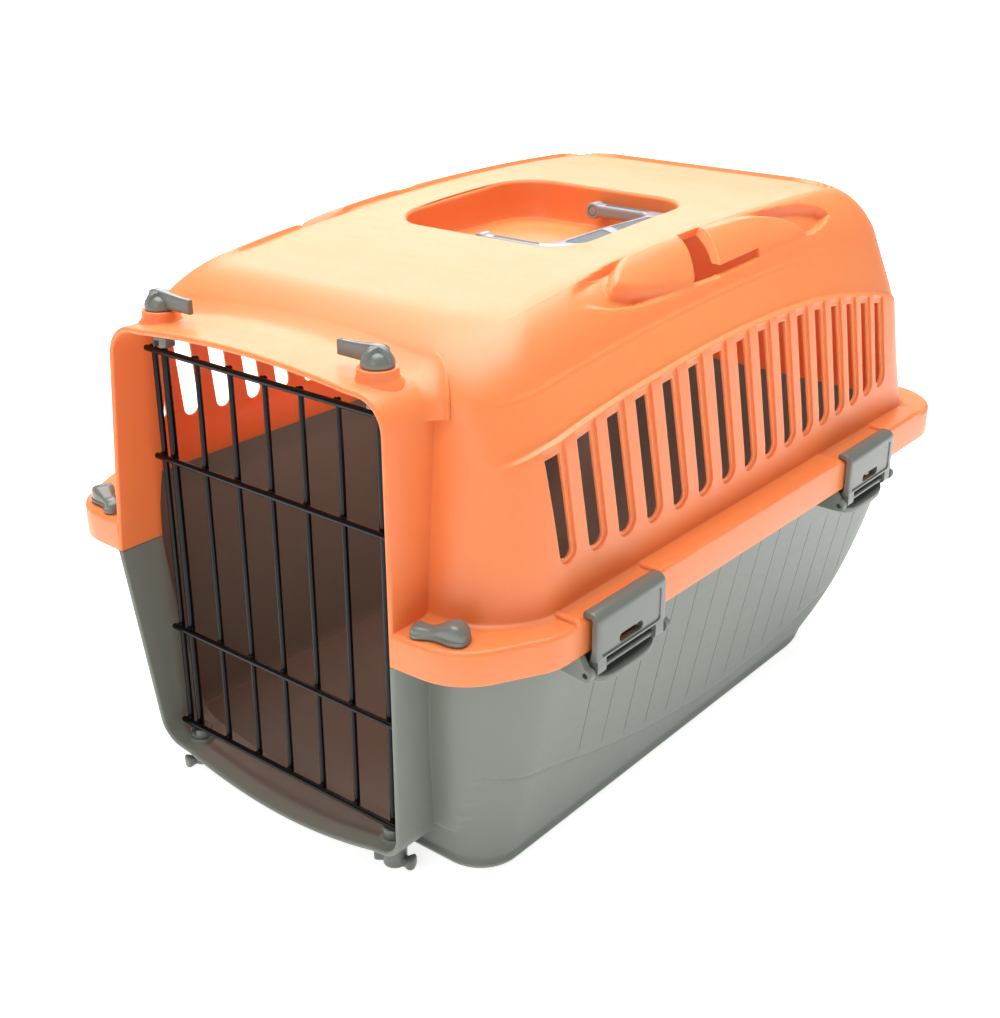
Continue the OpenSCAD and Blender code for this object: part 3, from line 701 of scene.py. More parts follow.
def band(s, x0, y0, y1, z1):
    """Rings along Y of the raised band on the flange: flush with its outer face and rounded at both ends."""
    r = 1.6
    a, corner = np.linspace(0, math.pi / 2, 5), np.linspace(0, math.pi / 2, 6)
    ends = [(y0 + r * (1 - math.cos(t)), r * (1 - math.sin(t))) for t in a]
    ends += [(y1 - r * (1 - math.sin(t)), r * (1 - math.cos(t))) for t in a]
    rings = []
    for y, drop in ends:
        x1 = np.interp(y, [-194, 110, 240], s.flange_ws) - 0.02
        c = [[x1 - 2 * (1 - math.cos(t)), z1 - drop - 2 * (1 - math.sin(t))] for t in corner]
        section = np.array([[x0, z1 - 8], [x1, z1 - 8]] + c + [[x0, z1 - drop]])
        rings.append(at_y(section, y))
    return np.array(rings)


def both(rings):
    """Rings on the right-hand side and their mirror image."""
    rings = np.asarray(rings, float)
    return [rings, (rings * [-1, 1, 1])[:, ::-1]]


# ---- Materials ----

def add(tree, kind, place, **values):
    """A shader node at place. A value named in_ and a label goes to that input, any other to the node."""
    node = tree.nodes.new(kind)
    node.location = place
    for key, value in values.items():
        if key.startswith("in_"):
            node.inputs[key[3:].replace("_", " ")].default_value = value
        else:
            setattr(node, key, value)
    return node


def socket_group(name, inputs, outputs):
    """An empty node group with named sockets."""
    tree = bpy.data.node_groups.new(name, "ShaderNodeTree")
    for label, kind, default in inputs:
        item = tree.interface.new_socket(label, in_out="INPUT", socket_type=kind)
        item.default_value = default
    for label, kind in outputs:
        tree.interface.new_socket(label, in_out="OUTPUT", socket_type=kind)
    return tree, add(tree, "NodeGroupInput", (-900, 0)), add(tree, "NodeGroupOutput", (700, 0))


def moulded_group():
    """Moulded plastic: cloudy colour, handling marks in the roughness and a fine grain as height."""
    tree, source, sink = socket_group("moulded plastic", [
        ("Colour", "NodeSocketColor", (0.5, 0.5, 0.5, 1)), ("Roughness", "NodeSocketFloat", 0.4),
        ("Cloud", "NodeSocketFloat", 0.05), ("Marks", "NodeSocketFloat", 0.1)],
        [("Colour", "NodeSocketColor"), ("Roughness", "NodeSocketFloat"), ("Height", "NodeSocketFloat")])
    link = tree.links.new
    place = add(tree, "ShaderNodeTexCoord", (-900, -300))
    cloud = add(tree, "ShaderNodeTexNoise", (-650, 200), in_Scale=14.0, in_Detail=3.0)
    fine = add(tree, "ShaderNodeTexNoise", (-650, -50), in_Scale=420.0, in_Detail=4.0)
    grain = add(tree, "ShaderNodeTexNoise", (-650, -300), in_Scale=1500.0, in_Detail=2.0)
    stretch = add(tree, "ShaderNodeMapping", (-850, -550))
    stretch.inputs["Scale"].default_value = (30, 30, 900)
    streak = add(tree, "ShaderNodeTexNoise", (-650, -550), in_Scale=1.0, in_Detail=5.0)
    for node in (cloud, fine, grain):
        link(place.outputs["Object"], node.inputs["Vector"])
    link(place.outputs["Object"], stretch.inputs["Vector"])
    link(stretch.outputs[0], streak.inputs["Vector"])
    shade = add(tree, "ShaderNodeMapRange", (-400, 250))
    shade.inputs["To Min"].default_value = 1.0
    link(cloud.outputs["Fac"], shade.inputs["Value"])
    lower = add(tree, "ShaderNodeMath", (-600, 400), operation="SUBTRACT")
    lower.inputs[0].default_value = 1.0
    link(source.outputs["Cloud"], lower.inputs[1])
    link(lower.outputs[0], shade.inputs["To Max"])
    tint = add(tree, "ShaderNodeVectorMath", (-150, 250), operation="SCALE")
    link(source.outputs["Colour"], tint.inputs[0])
    link(shade.outputs[0], tint.inputs["Scale"])
    link(tint.outputs[0], sink.inputs["Colour"])
    rub = add(tree, "ShaderNodeMapRange", (-400, -50))
    rub.inputs["From Min"].default_value, rub.inputs["From Max"].default_value = 0.45, 0.75
    link(fine.outputs["Fac"], rub.inputs["Value"])
    wipe = add(tree, "ShaderNodeMapRange", (-400, -550))
    wipe.inputs["From Min"].default_value, wipe.inputs["From Max"].default_value = 0.5, 0.8
    link(streak.outputs["Fac"], wipe.inputs["Value"])
    worn = add(tree, "ShaderNodeMath", (-150, -100), operation="ADD")
    link(rub.outputs[0], worn.inputs[0])
    link(wipe.outputs[0], worn.inputs[1])
    rough = add(tree, "ShaderNodeMath", (100, 0), operation="MULTIPLY_ADD")
    link(worn.outputs[0], rough.inputs[0])
    link(source.outputs["Marks"], rough.inputs[1])
    link(source.outputs["Roughness"], rough.inputs[2])
    link(rough.outputs[0], sink.inputs["Roughness"])
    height = add(tree, "ShaderNodeMath", (100, -300), operation="MULTIPLY_ADD")
    height.inputs[1].default_value = 0.5
    link(cloud.outputs["Fac"], height.inputs[0])
    link(grain.outputs["Fac"], height.inputs[2])
    link(height.outputs[0], sink.inputs["Height"])
    return tree


def finish(name, tint, rough, cloud, marks, bump, edge=0.0, ior=1.5, glow=0.0):
    """A material from the moulded plastic group.

    Edge is the radius that rounds small edges, in metres, and glow is the share of light that passes into the
    plastic."""
    if name in bpy.data.materials:
        return bpy.data.materials[name]
    material = bpy.data.materials.new(name)
    material.use_nodes = True
    material.diffuse_color = (*tint, 1)
    tree = material.node_tree
    shader = tree.nodes["Principled BSDF"]
    group = add(tree, "ShaderNodeGroup", (-500, 0))
    group.node_tree = bpy.data.node_groups.get("moulded plastic") or moulded_group()
    group.inputs["Colour"].default_value = (*tint, 1)
    group.inputs["Roughness"].default_value = rough
    group.inputs["Cloud"].default_value = cloud
    group.inputs["Marks"].default_value = marks
    relief = add(tree, "ShaderNodeBump", (-250, -300), in_Strength=bump, in_Distance=0.001)
    tree.links.new(group.outputs["Colour"], shader.inputs["Base Color"])
    tree.links.new(group.outputs["Roughness"], shader.inputs["Roughness"])
    tree.links.new(group.outputs["Height"], relief.inputs["Height"])
    if edge:
        soft = add(tree, "ShaderNodeBevel", (-450, -400), samples=6, in_Radius=edge)
        tree.links.new(soft.outputs[0], relief.inputs["Normal"])
    tree.links.new(relief.outputs[0], shader.inputs["Normal"])
    shader.inputs["IOR"].default_value = ior
    shader.inputs["Subsurface Weight"].default_value = glow
    shader.inputs["Subsurface Radius"].default_value = (1.0, 0.22, 0.06)
    shader.inputs["Subsurface Scale"].default_value = 0.006
    return material


def palette():
    """The materials of the carrier by slot."""
    c = bpy.context.scene.carrier_colours
    return SimpleNamespace(
        top=finish("orange plastic", c.orange, 0.38, 0.04, 0.06, 0.02, 0.0009, glow=0.5),
        base=finish("green-grey plastic", c.green_grey, 0.42, 0.06, 0.07, 0.03, 0.0009),
        fitting=finish("grey fittings plastic", c.knob_grey, 0.24, 0.03, 0.0, 0.004, 0.0006),
        wire=finish("black wire coating", c.wire_black, 0.22, 0.1, 0.05, 0.004, ior=1.3),
        silver=finish("silver handle plastic", c.silver, 0.26, 0.03, 0.0, 0.004, 0.0006),
        inlay=finish("dark handle inlay", c.inlay, 0.5, 0.1, 0.1, 0.03, 0.0004),
    )


# ---- Pieces ----

class PieceOperator:
    """What the operators of the pieces share."""

    bl_options = {"REGISTER", "UNDO"}

    def execute(self, context):
        self.build(sizes(), palette())
        return {"FINISHED"}


class CARRIER_OT_top_shell(PieceOperator, bpy.types.Operator):
    """Builds the orange upper shell: dome, door frame, flange, well, vents and belt guides"""

    bl_idname = "carrier.top_shell"
    bl_label = "Upper shell"

    def build(self, s, m):
        p = dome_grid(s, 0, s.rim_z, (24, 36, 42), (10, 14, 130, 14, 10), 3.0)
        n = grid_normals(p)
        shell = loft("upper_shell", p + n * dome_relief(s, p, n)[..., None])
        ring = cut(flange(s, "flange", s.split_z, s.foot_z, 0.6, 2.5),
                   flange(s, "skirt", s.split_z - 1, s.rim_z, 0, 1.5, s.wall))
        bands = []
        for y0, y1 in ((s.front + 60, -175.5), (-110.5, 82.5), (147.5, s.rear - 45)):
            bands += both(band(s, s.dome_w - 1, y0, y1, s.foot_z + 2.3))
        joined(shell, half_frame(s, "upper half", s.split_z, s.height + 20), ring,
               wall_fillet(s, "fillet", 8.0), shelf_boss(s, -1), shelf_boss(s, 1), lofts("bands", bands))
        q = dome_grid(s, s.wall, s.split_z - 1, (14, 20, 26), (6, 8, 90, 8, 6))
        q += grid_normals(q) * cavity_relief(s, q, grid_normals(q))[..., None]
        cut(shell, loft("cavity", q), neck_inner(s, "doorway", s.front + 57))
        low = s.well_z - s.wall
        pocket = [(-5, low, 0), (-1.5, low + 0.6, 0), (0, low + 3, 0),
                  (0, s.height - 12, 0.7), (0, s.height - 3.2, 1)]
        joined(shell, loft("pocket", well_rings(s, s.wall, pocket)), under_boss(s, -1), under_boss(s, 1))
        top, lip = s.height - s.panel_d, 2.4
        opening = [(-4, s.well_z, 0), (-1.2, s.well_z + 1.2, 0), (0, s.well_z + 4, 0), (0, s.pivot_z, 0.4)]
        for t in np.linspace(0, math.pi / 2, 7):
            opening.append((lip * (1 - math.cos(t)), top - lip + lip * math.sin(t), 1))
        cut(shell, loft("well", well_rings(s, 0, opening + [(lip, top + 8, 1)])), gate_ring(s))
        cut(shell, self.recess(s))
        cut(shell, lofts("slots", vents(s, -170, 170)), *belt_cuts(), *bores(s))
        placed(shell, "carrier", m.top, ["top_shell"], 34)

    def recess(self, s):
        """Recesses round the vents: enlarged vent prisms outside a dome that lies deeper by the recess."""
        p = dome_grid(s, 0, s.rim_z - 2, (24, 36, 14), (10, 14, 130, 14, 10))
        n = grid_normals(p)
        r = ridge_z(p[..., 1])
        z = p[..., 2]
        depth = s.vent_recess * (1 - smooth(r - 3.2, r - 0.8, z)) - 0.2 * smooth(r - 1.5, r, z)
        inner = loft("depth", p + n * (dome_relief(s, p, n) - depth)[..., None])
        grow = dict(left=0.7, right=2.6, below=2.4, above=5.2)
        return cut(lofts("recesses", vents(s, 118, 170, **grow) + vents(s, -170, -118, **grow)), inner)


def shelf_boss(s, side):
    """Round boss under a top knob with a soft fillet at its foot."""
    z, top = s.shelf_z, s.shelf_z + 7
    profile = [(0, z - 2), (12.4, z - 2), (11.6, z + 0.6), (10.5, z + 1.6), (9.8, z + 3.2)]
    profile += round_edge(9.6, top, 0.7) + [(0, top)]
    return moved(loft("boss", turned(profile), "flat"), place=(side * s.rod_x, s.rod_y, 0))


def under_boss(s, side):
    """Boss under the shelf that a top rod holder turns against."""
    seat = s.shelf_z - 5.5
    profile = [(0, seat)] + round_edge(7.5, seat, 0.8, False) + [(7.5, s.shelf_z), (0, s.shelf_z)]
    return moved(loft("seat", turned(profile), "flat"), place=(side * s.rod_x, s.rod_y, 0))


def gate_ring(s):
    """Faint gate ring in the floor of the well: a square section carried round a circle."""
    count, z = 48, s.well_z
    r, h = np.array([(12.4, z + 1), (12.4, z - 0.35), (13.2, z - 0.35), (13.2, z + 1)]).T
    a = np.linspace(0, 2 * math.pi, count, endpoint=False)[:, None]
    points = np.stack([np.cos(a) * r, np.sin(a) * r + s.well_y, h + 0 * a], -1)
    i, j = np.meshgrid(np.arange(count), np.arange(4), indexing="ij")
    k, l = (i + 1) % count, (j + 1) % 4
    quads = np.stack([i * 4 + j, k * 4 + j, k * 4 + l, i * 4 + l], -1).reshape(-1, 4)
    return mesh_object("gate ring", points.reshape(-1, 3), quads)


def belt_cuts():
    """Openings of the belt guides: the slanted gap between the tongues and the slot under the rear one."""
    gap = np.array([[-29, 275.8], [-4, 275.8], [14, 302], [-8, 302]])
    low = np.array([[-9, 275.8], [40, 278.2], [41.5, 283.2], [-6, 281]])
    return [lofts("gap", both(prism_x(gap, 99.6, 160))), lofts("lower slot", both(prism_x(low, 110, 160)))]


def bores(s):
    """Bores for the knobs' stems, the locks and the handle's pivots."""
    holes = []
    for side in (-1, 1):
        knob, lock = (side * s.rod_x, s.rod_y, 0), (side * s.lock_x, s.lock_y, 0)
        holes.append(peg("stem bore", s.stem_bore, s.shelf_z - 20, s.shelf_z + 20, knob))
        holes.append(peg("lock bore", s.stem_bore, s.rim_z - 6, s.foot_z + 5, lock))
    return holes + [loft("pivot bore", turned_y([(3.05, -72), (3.05, 77)], 0, s.pivot_z, 24), "flat")]


def skirt_z(y):
    """Height of the crease low on the base's sides."""
    return np.interp(y, [-240, -211, -160, -110, -60, -5, 30, 67, 105, 139, 175, 215],
                     [72, 68, 54.5, 39.5, 28, 20.3, 19.4, 20.6, 25, 32, 44, 62])


def base_side(s, z):
    """Half width of the base at height z: its walls lean out up to the joint."""
    return s.dome_w + 1 - 26 * (1 - np.minimum(z / s.split_z, 1))


def base_grid(s, t, z, counts):
    """Points of the base moved inwards by t: walls that lean out, a swept rear and a rounded lower edge."""
    up = np.minimum(z / s.split_z, 1)
    edge = np.where(z < FOOT_R, FOOT_R - np.sqrt(np.maximum(FOOT_R ** 2 - (FOOT_R - z) ** 2, 0)), 0) + t
    w = base_side(s, z) - edge
    yf = s.front + 25 + 15 * (1 - up) ** 1.5 + edge
    yr = s.rear - 12 - 75 * (1 - up) ** 3.3 - edge
    x, y = half_ring(w, yf, yr, np.maximum(24 + 18 * up - edge, 4), np.maximum(50 - edge, 4), counts)
    x, y = np.concatenate([x, -x[:, ::-1]], 1), np.concatenate([y, y[:, ::-1]], 1)
    return np.stack([x, y, z[:, None] + 0 * x], -1)


class CARRIER_OT_base_shell(PieceOperator, bpy.types.Operator):
    """Builds the green-grey lower shell: tub, rim, sill, clip lugs and incised lines"""

    bl_idname = "carrier.base_shell"
    bl_label = "Lower shell"

    def build(self, s, m):
        foot = FOOT_R * (1 - np.cos(np.linspace(0.02, math.pi / 2, 8)))[:-1]
        p = base_grid(s, 0, np.concatenate([foot, np.linspace(FOOT_R, s.rim_z, 150)]), (10, 14, 90, 16, 8))
        n = grid_normals(p)
        shell = loft("lower_shell", p + n * self.relief(s, p)[..., None])
        rim = flange(s, "rim", s.rim_z - s.wall, s.rim_z, 0, 0.8, s.wall + 0.4)
        lugs = []
        for y in s.clip_ys:
            for end in (-1, 1):
                lugs += both(self.lug(s, y + end * (s.clip_w / 2 + 2.4)))
            lugs += both(self.bracket(s, y))
        joined(shell, half_frame(s, "lower half", -5, s.split_z - 0.25), rim, lofts("lugs", lugs))
        inner = base_grid(s, s.wall, np.linspace(s.wall, s.rim_z + 1, 40), (6, 10, 50, 10, 6))
        cut(shell, loft("cavity", inner), neck_inner(s, "doorway", s.front + 50))
        joined(shell, self.sill_boss(s, -1), self.sill_boss(s, 1))
        gap = block("frame gap", (-s.neck_w / 2 - 0.5, s.front - 10, s.split_z - 0.2),
                    (s.neck_w / 2 + 0.5, s.front + 65, s.rim_z + 20))
        cut(shell, gap, lofts("lines", self.lines(s)), *self.holes(s))
        placed(shell, "carrier", m.base, ["base_shell"], 34)

    def relief(self, s, p):
        """Outward shift of the base: back below the crease, a groove in the crease, and back at the joint."""
        y, z = p[..., 1], p[..., 2]
        crease = skirt_z(y)
        along = smooth(-0.3, 0.3, y - s.front - 36) * (1 - smooth(110, 165, y)) * smooth(5, 9, z)
        step = 2.0 * (smooth(crease - 1.2, crease + 0.6, z) - 1)
        groove = 0.7 * np.exp(-((z - crease + 0.4) / 1.2) ** 2)
        return (step - groove) * along - 0.5 * smooth(s.split_z - 8, s.split_z + 2, z)

    def lug(self, s, y):
        """Rings along Y of a lug that carries a clip's pin: a rounded tab from the wall to the pin."""
        x, z, r = s.pin_x, s.pin_z, 3.3
        a = np.linspace(-math.pi / 2, math.pi / 2, 13)
        tab = np.column_stack([x + r * np.cos(a), z + r * np.sin(a)])
        outline = np.concatenate([tab, [[161, s.split_z + 1], [143, s.split_z + 1], [146, z - 1]]])
        return [at_y(outline, v) for v in (y - 2, y + 2)]

    def bracket(self, s, y):
        """Rings along Y of the curved rail under a clip: it bows out and down between its ends."""
        t = np.linspace(-1, 1, 25)
        bow = 1 - t ** 4
        c, n = ellipse(np.linspace(0, 2 * math.pi, 12, endpoint=False), 0.7)
        rings = [at_y(np.column_stack([u - 3.4 + 3.4 * c, w + 2.4 * n]), y + v * 27)
                 for u, v, w in zip(s.pin_x - 4 + 7.0 * bow ** 0.5, t, s.pin_z - 4.6 - 3.6 * bow)]
        ledge = np.array(rings)
        ledge[:, c < -0.3, 0] = 141  # its back reaches into the wall
        return ledge

    def sill_boss(self, s, side):
        """Boss in the sill that a lower rod holder stands on."""
        seat, low = s.sill_z + 2.3, s.sill_z - 3.8
        profile = [(0, low)] + round_edge(7.5, low, 0.7, False) + round_edge(7.5, seat, 0.6) + [(0, seat)]
        return moved(loft("sill boss", turned(profile), "flat"), place=(side * s.rod_x, s.rod_y, 0))

    def lines(self, s):
        """Incised lines down the sides: narrow wedges that follow the wall, shorter under the clips."""
        wedges, w = [], 0.9
        for i in range(1, 15):
            y = -160 + 22.6 * i
            z = np.linspace(float(skirt_z(y)) + 5, s.split_z - 6, 16)
            depth = 0.5 * np.minimum(1, np.minimum(z - z[0], z[-1] - z) / 8 + 0.15)
            if min(abs(y - v) for v in s.clip_ys) < 36:
                z = np.linspace(z[0], 108, 16)
            wedges += both([[[x + w, y - w, h], [x + w, y + w, h], [x - d, y + 0.12, h], [x - d, y - 0.12, h]]
                            for x, h, d in zip(base_side(s, z), z, depth)])
        return wedges

    def holes(self, s):
        """Bores of the stems, slots of the cams and bores of the clip pins."""
        out = []
        for side in (-1, 1):
            out.append(peg("stem bore", s.stem_bore, -6, s.sill_z + 12, (side * s.rod_x, s.rod_y, 0)))
            slot = block("cam slot", (-6, -4.5, s.rim_z - 10), (6, 4.5, s.rim_z + 8))
            out.append(moved(slot, side * 20, (side * s.lock_x, s.lock_y, 0)))
        pins = []
        for y in s.clip_ys:
            pins += both(turned_y([(1.5, y - 34.4), (1.5, y + 34.4)], s.pin_x, s.pin_z, 20))
        return out + [lofts("pin bores", pins)]


class CARRIER_OT_door(PieceOperator, bpy.types.Operator):
    """Builds the wire door with its welds and hinge rods"""

    bl_idname = "carrier.door"
    bl_label = "Wire door"

    def build(self, s, m):
        upper, lower = 248.4, 26.2
        crosses = (upper, upper - 59.5, lower + 60.5, lower)
        reach = s.rod_x + 9.8
        columns = [k * s.bar_pitch for k in range(-2, 3)]
        wires = [rod((-reach, s.cross_y, z), (reach, s.cross_y, z), s.wire_d / 2) for z in crosses]
        low, high, sides = lower - 0.4, upper + 0.4, (-s.edge_x, s.edge_x)
        bars = [self.upright(x, s.bar_y, low, high, s.bar_d / 2) for x in columns]
        edges = [self.upright(x, s.edge_y, low, high, s.edge_d / 2) for x in sides]
        for name, group, node in (("door_wires_across", wires, "door_cross_wires"),
                                  ("door_upright_bars", bars, "door_bars"),
                                  ("door_outer_rods", edges, "door_edge_rods")):
            placed(lofts(name, group), "door", m.wire, [node])
        for side, name in ((-1, "left"), (1, "right")):
            hinge = self.upright(side * s.rod_x, s.rod_y, 22.6, 252.4, s.rod_d / 2, 20)
            placed(lofts(f"{name}_rod", [hinge]), "door", m.wire, [f"{name}_hinge_rod"])
        welds = []
        for z in crosses:
            for x in columns:
                welds.append(self.weld(x, (s.cross_y + s.bar_y) / 2, z, 1.6))
            for k in (-1, 1):
                welds.append(self.weld(k * s.edge_x, (s.cross_y + s.edge_y) / 2, z, 1.7))
                welds.append(self.weld(k * s.rod_x, (s.cross_y + s.rod_y) / 2, z, 1.25))
        placed(lofts("door_welds", welds), "door", m.wire, (), 60)

    def upright(self, x, y, low, high, radius, n=16):
        """Rings of an upright wire."""
        return rod((x, y, low), (x, y, high), radius, n=n)

    def weld(self, x, y, z, r):
        """Rings of a flattened bead where two wires cross: an ellipsoid, wider than it is deep."""
        b = np.linspace(0, 2 * math.pi, 12, endpoint=False)
        rings = []
        for t in np.linspace(0, math.pi, 7):
            share = r * (math.sin(t) + 0.02)
            outline = np.column_stack([x + 1.45 * share * np.cos(b), z + 1.35 * share * np.sin(b)])
            rings.append(at_y(outline, y - 0.75 * r * math.cos(t)))
        return rings


def top_knob(s, name):
    """A top knob at the origin: a domed hub and a thin upright fin along +X that flares over the hub."""
    z = s.shelf_z + 7.3
    foot = s.shelf_z - 7.8
    hub = [(0, foot), (s.stem_r, foot), (s.stem_r, z)] + round_edge(8, z, 0.5, False)[1:]
    hub += [(8, z + 1.8), (7.8, z + 3), (7.2, z + 4.4), (6.2, z + 5.7), (4.6, z + 6.8), (2.4, z + 7.4)]
    hub.append((0, z + 7.6))
    body = loft(name, turned(hub), "flat")
    x = [-8.3, -7.6, -6, -3, 0, 3, 6, 9, 14, 19, 23, 23.9, 24.1]
    w = [0.5, 1.0, 1.6, 2.1, 2.5, 2.6, 2.3, 1.9, 1.6, 1.55, 1.6, 1.45, 1.0]
    h = [4.2, 6.4, 8.0, 8.9, 9.2, 9.0, 8.6, 8.2, 7.8, 7.6, 7.6, 7.3, 6.6]
    fin = loft("fin", sections(x, w, h, z + 0.7, 0.3), "flat")
    x = [-7.9, -7.2, -4.5, 0, 4.5, 7.2, 7.9]
    w = [0.5, 1.0, 2.0, 3.2, 2.0, 1.0, 0.5]
    h = [4.0, 6.4, 8.2, 9.1, 8.2, 6.4, 4.0]
    cross = moved(loft("cross", sections(x, w, h, z + 0.7, 0.35), "flat"), 90)
    return joined(body, fin, cross)


def bottom_knob(s, name, bow):
    """A bottom knob at the origin: hub, stem and two thumb wings, the second one narrower unless bow."""
    foot, z, top = 1.2, s.sill_z - 4.1, s.sill_z + 4.4
    hub = [(0, foot)] + round_edge(6.4, foot, 1.0, False) + [(6.4, z - 1)] + round_edge(6.4, z, 0.8)
    body = loft(name, turned(hub + [(s.stem_r, z), (s.stem_r, top), (0, top)]), "flat")
    x = np.array([0, 3.4, 5.6, 7, 8.4, 9.8, 10.8, 11.2])
    w = np.array([3.2, 2.7, 2.4, 2.7, 3.7, 4.3, 3.7, 1.6])
    h = np.array([6.6, 6.2, 5.8, 5.8, 6.6, 7.2, 6.6, 4.2])
    wings = [loft("wing", sections(x, w, h, 0.6, 0.6), "flat")]
    wings.append(moved(loft("wing", sections(x, w * (1 if bow else 0.75), h, 0.6, 0.6), "flat"), 180))
    return joined(body, *wings)


def holder(s, name, z0, h, stem_z, rod_z, sides):
    """A rod holder at the origin that stands on z0: a barrel with flats, a socket and a channel along -Y."""
    a = np.linspace(0, 2 * math.pi, sides, endpoint=False) + math.pi / sides
    outline = [[6.2 * math.cos(t), 6.2 * math.sin(t), 1.0] for t in a]
    body = loft(name, slab(outline, z0, z0 + h, 0.6, 0.6, 4), "flat")
    socket = peg("socket", s.stem_r, stem_z - 0.1, stem_z + 2)
    hole = peg("hole", s.rod_d / 2 + 0.1, rod_z, rod_z + h + 2)
    return cut(body, socket, hole, block("channel", (-2.2, -12, rod_z), (2.2, 0, rod_z + h + 2)))


class CARRIER_OT_knobs(PieceOperator, bpy.types.Operator):
    """Builds the four door knobs and the holders of the hinge rods"""

    bl_idname = "carrier.knobs"
    bl_label = "Knobs and rod holders"

    def build(self, s, m):
        for side, name in ((-1, "left"), (1, "right")):
            place = (side * s.rod_x, s.rod_y, 0)
            turn = 0 if side < 0 else -90
            top = moved(top_knob(s, f"top_{name}_lever"), 0 if side < 0 else 180, place)
            low = moved(bottom_knob(s, f"bottom_{name}_wings", side > 0), 78 if side < 0 else 12, place)
            seat = s.shelf_z - 5.8
            upper = holder(s, f"top_{name}_cup", -seat, 6.6, -seat, -seat + 2.3, 6)
            flip_z(upper)
            moved(upper, turn, place)
            seat = s.sill_z + 2.6
            lower = moved(holder(s, f"bottom_{name}_cup", seat, 5.4, seat, seat + 2.3, 12), turn, place)
            for knob, cup, end in ((top, upper, "top"), (low, lower, "bottom")):
                body = f"{end}_{name}_turner"
                placed(knob, body, m.fitting, [f"{end}_{name}_knob"], 50)
                placed(cup, body, m.fitting, [f"{end}_{name}_rod_holder"])


def flip_z(obj):
    """Mirrors a mesh in the XY plane."""
    mesh = obj.data
    p = np.zeros(len(mesh.vertices) * 3, np.float32)
    mesh.vertices.foreach_get("co", p)
    p[2::3] *= -1
    mesh.vertices.foreach_set("co", p)
    mesh.flip_normals()
    mesh.update()


class CARRIER_OT_corner_locks(PieceOperator, bpy.types.Operator):
    """Builds the two corner locks with their cams"""

    bl_idname = "carrier.corner_locks"
    bl_label = "Corner locks"

    def build(self, s, m):
        base = s.foot_z + 0.3
        x = [-6.8, -6.4, -5.2, -3.2, -0.8, 1.6, 4.2, 6.8, 9.4, 12, 14.4, 16.6, 18.6, 20.2, 21, 21.3]
        w = np.array([1.4, 3.2, 5.0, 5.9, 6.2, 5.9, 5.1, 4.2, 3.6, 3.6, 4.0, 4.5, 4.6, 3.8, 2.5, 1.0])
        h = [3.2, 4.8, 6.9, 8.8, 9.9, 9.8, 8.6, 7.2, 6.0, 5.4, 5.5, 5.9, 6.0, 5.4, 4.2, 2.9]
        for side, name in ((-1, "left"), (1, "right")):
            plinth = sections(x, w + 0.6, np.full(len(x), 2.4), base + 0.01, 0.45, 40)
            lever = joined(loft(f"{name}_paddle", sections(x, w, h, base, 0.62, 40), "flat"),
                           loft("plinth", plinth, "flat"))
            cam_z = s.rim_z - s.wall - 3.4
            joined(lever, peg("stem", s.stem_r, cam_z, base + 2))
            plate = slab(oblong(-4, 4, -5, 5, 1.2), cam_z, cam_z + 3, 0.4, 0.4, 4)
            cam = cut(loft(f"{name}_lock_plate", plate, "flat"),
                      peg("hole", s.stem_r, cam_z - 1, cam_z + 4))
            for obj, part, angle in ((lever, "lever", 50), (cam, "cam", 32)):
                node = f"{name}_corner_{part}"
                moved(obj, -20 if side < 0 else 200, (side * s.lock_x, s.lock_y, 0))
                placed(obj, f"{name}_corner_lock", m.fitting, [node], angle)


class CARRIER_OT_clips(PieceOperator, bpy.types.Operator):
    """Builds the four side clips with their pins"""

    bl_idname = "carrier.clips"
    bl_label = "Side clips"

    def build(self, s, m):
        for side, word in ((1, "right"), (-1, "left")):
            for y, end in zip(s.clip_ys, ("front", "rear")):
                clip = self.clip(s, f"{word}_{end}_latch", y)
                wire = rod((s.pin_x, y - 31.5, s.pin_z), (s.pin_x, y + 31.5, s.pin_z), 1.5, 6)
                pin = lofts(f"{word}_{end}_rod", [wire])
                if side < 0:
                    moved(clip, mirror=True)
                    moved(pin, mirror=True)
                placed(clip, f"{word}_{end}_clip", m.fitting, [f"{word}_{end}_clip"])
                placed(pin, "carrier", m.fitting, [f"{word}_{end}_clip_pin"])

    def clip(self, s, name, y):
        """A latch: a section of leg and top plate swept along Y with rounded ends, two knuckles round the
        pin, a slot and a plate that stands back a little."""
        x, z = s.pin_x, s.pin_z
        leg, top, t = 164.4, s.foot_z + 0.3, 3.6
        face, inner = leg + t, s.dome_w + 10
        section = [[inner, top, 0.9], [leg, top, 0.8], [leg, z + 9, 0.4], [leg - 0.6, z + 6.4, 0.5],
                   [leg + 1, z + 4.6, 0.6], [face + 0.5, z + 5.6, 1.2], [face, z + 9, 1.5],
                   [face, top + t, 5.0], [inner, top + t, 1.7]]
        ends = [(-29, 0.9), (-28.7, 0.35), (-28, 0), (28, 0), (28.7, 0.35), (29, 0.9)]
        body = loft(name, [at_y(rounded(section, inward * 0.45, 5), y + v) for v, inward in ends], "flat")
        hinge = rounded([[leg, z + 11, 0.6], [x - 3, z + 1.5, 1], [x - 3, z - 2.6, 2.4],
                         [x + 3, z - 2.6, 2.4], [x + 3, z + 1.5, 1], [face - 0.3, z + 11, 0.8]], 0, 5)
        spans = ((-28, -21), (21, 28))
        joined(body, lofts("knuckles", [[at_y(hinge, y + v) for v in span] for span in spans]))
        bore = loft("bore", turned_y([(1.55, y - 32), (1.55, y + 32)], x, z, 24), "flat")
        slot = oblong(y - 10, y + 10, z + 8.2, z + 12.8, 2.2)
        plate = oblong(y - 25.4, y + 24.6, z + 7, z + 25, 2)
        return cut(body, bore, loft("slot", prism_x(rounded(slot, 0, 6), leg - 3, leg + 8), "flat"),
                   loft("step", prism_x(rounded(plate, 0, 5), face - 0.5, leg + 8), "flat"))


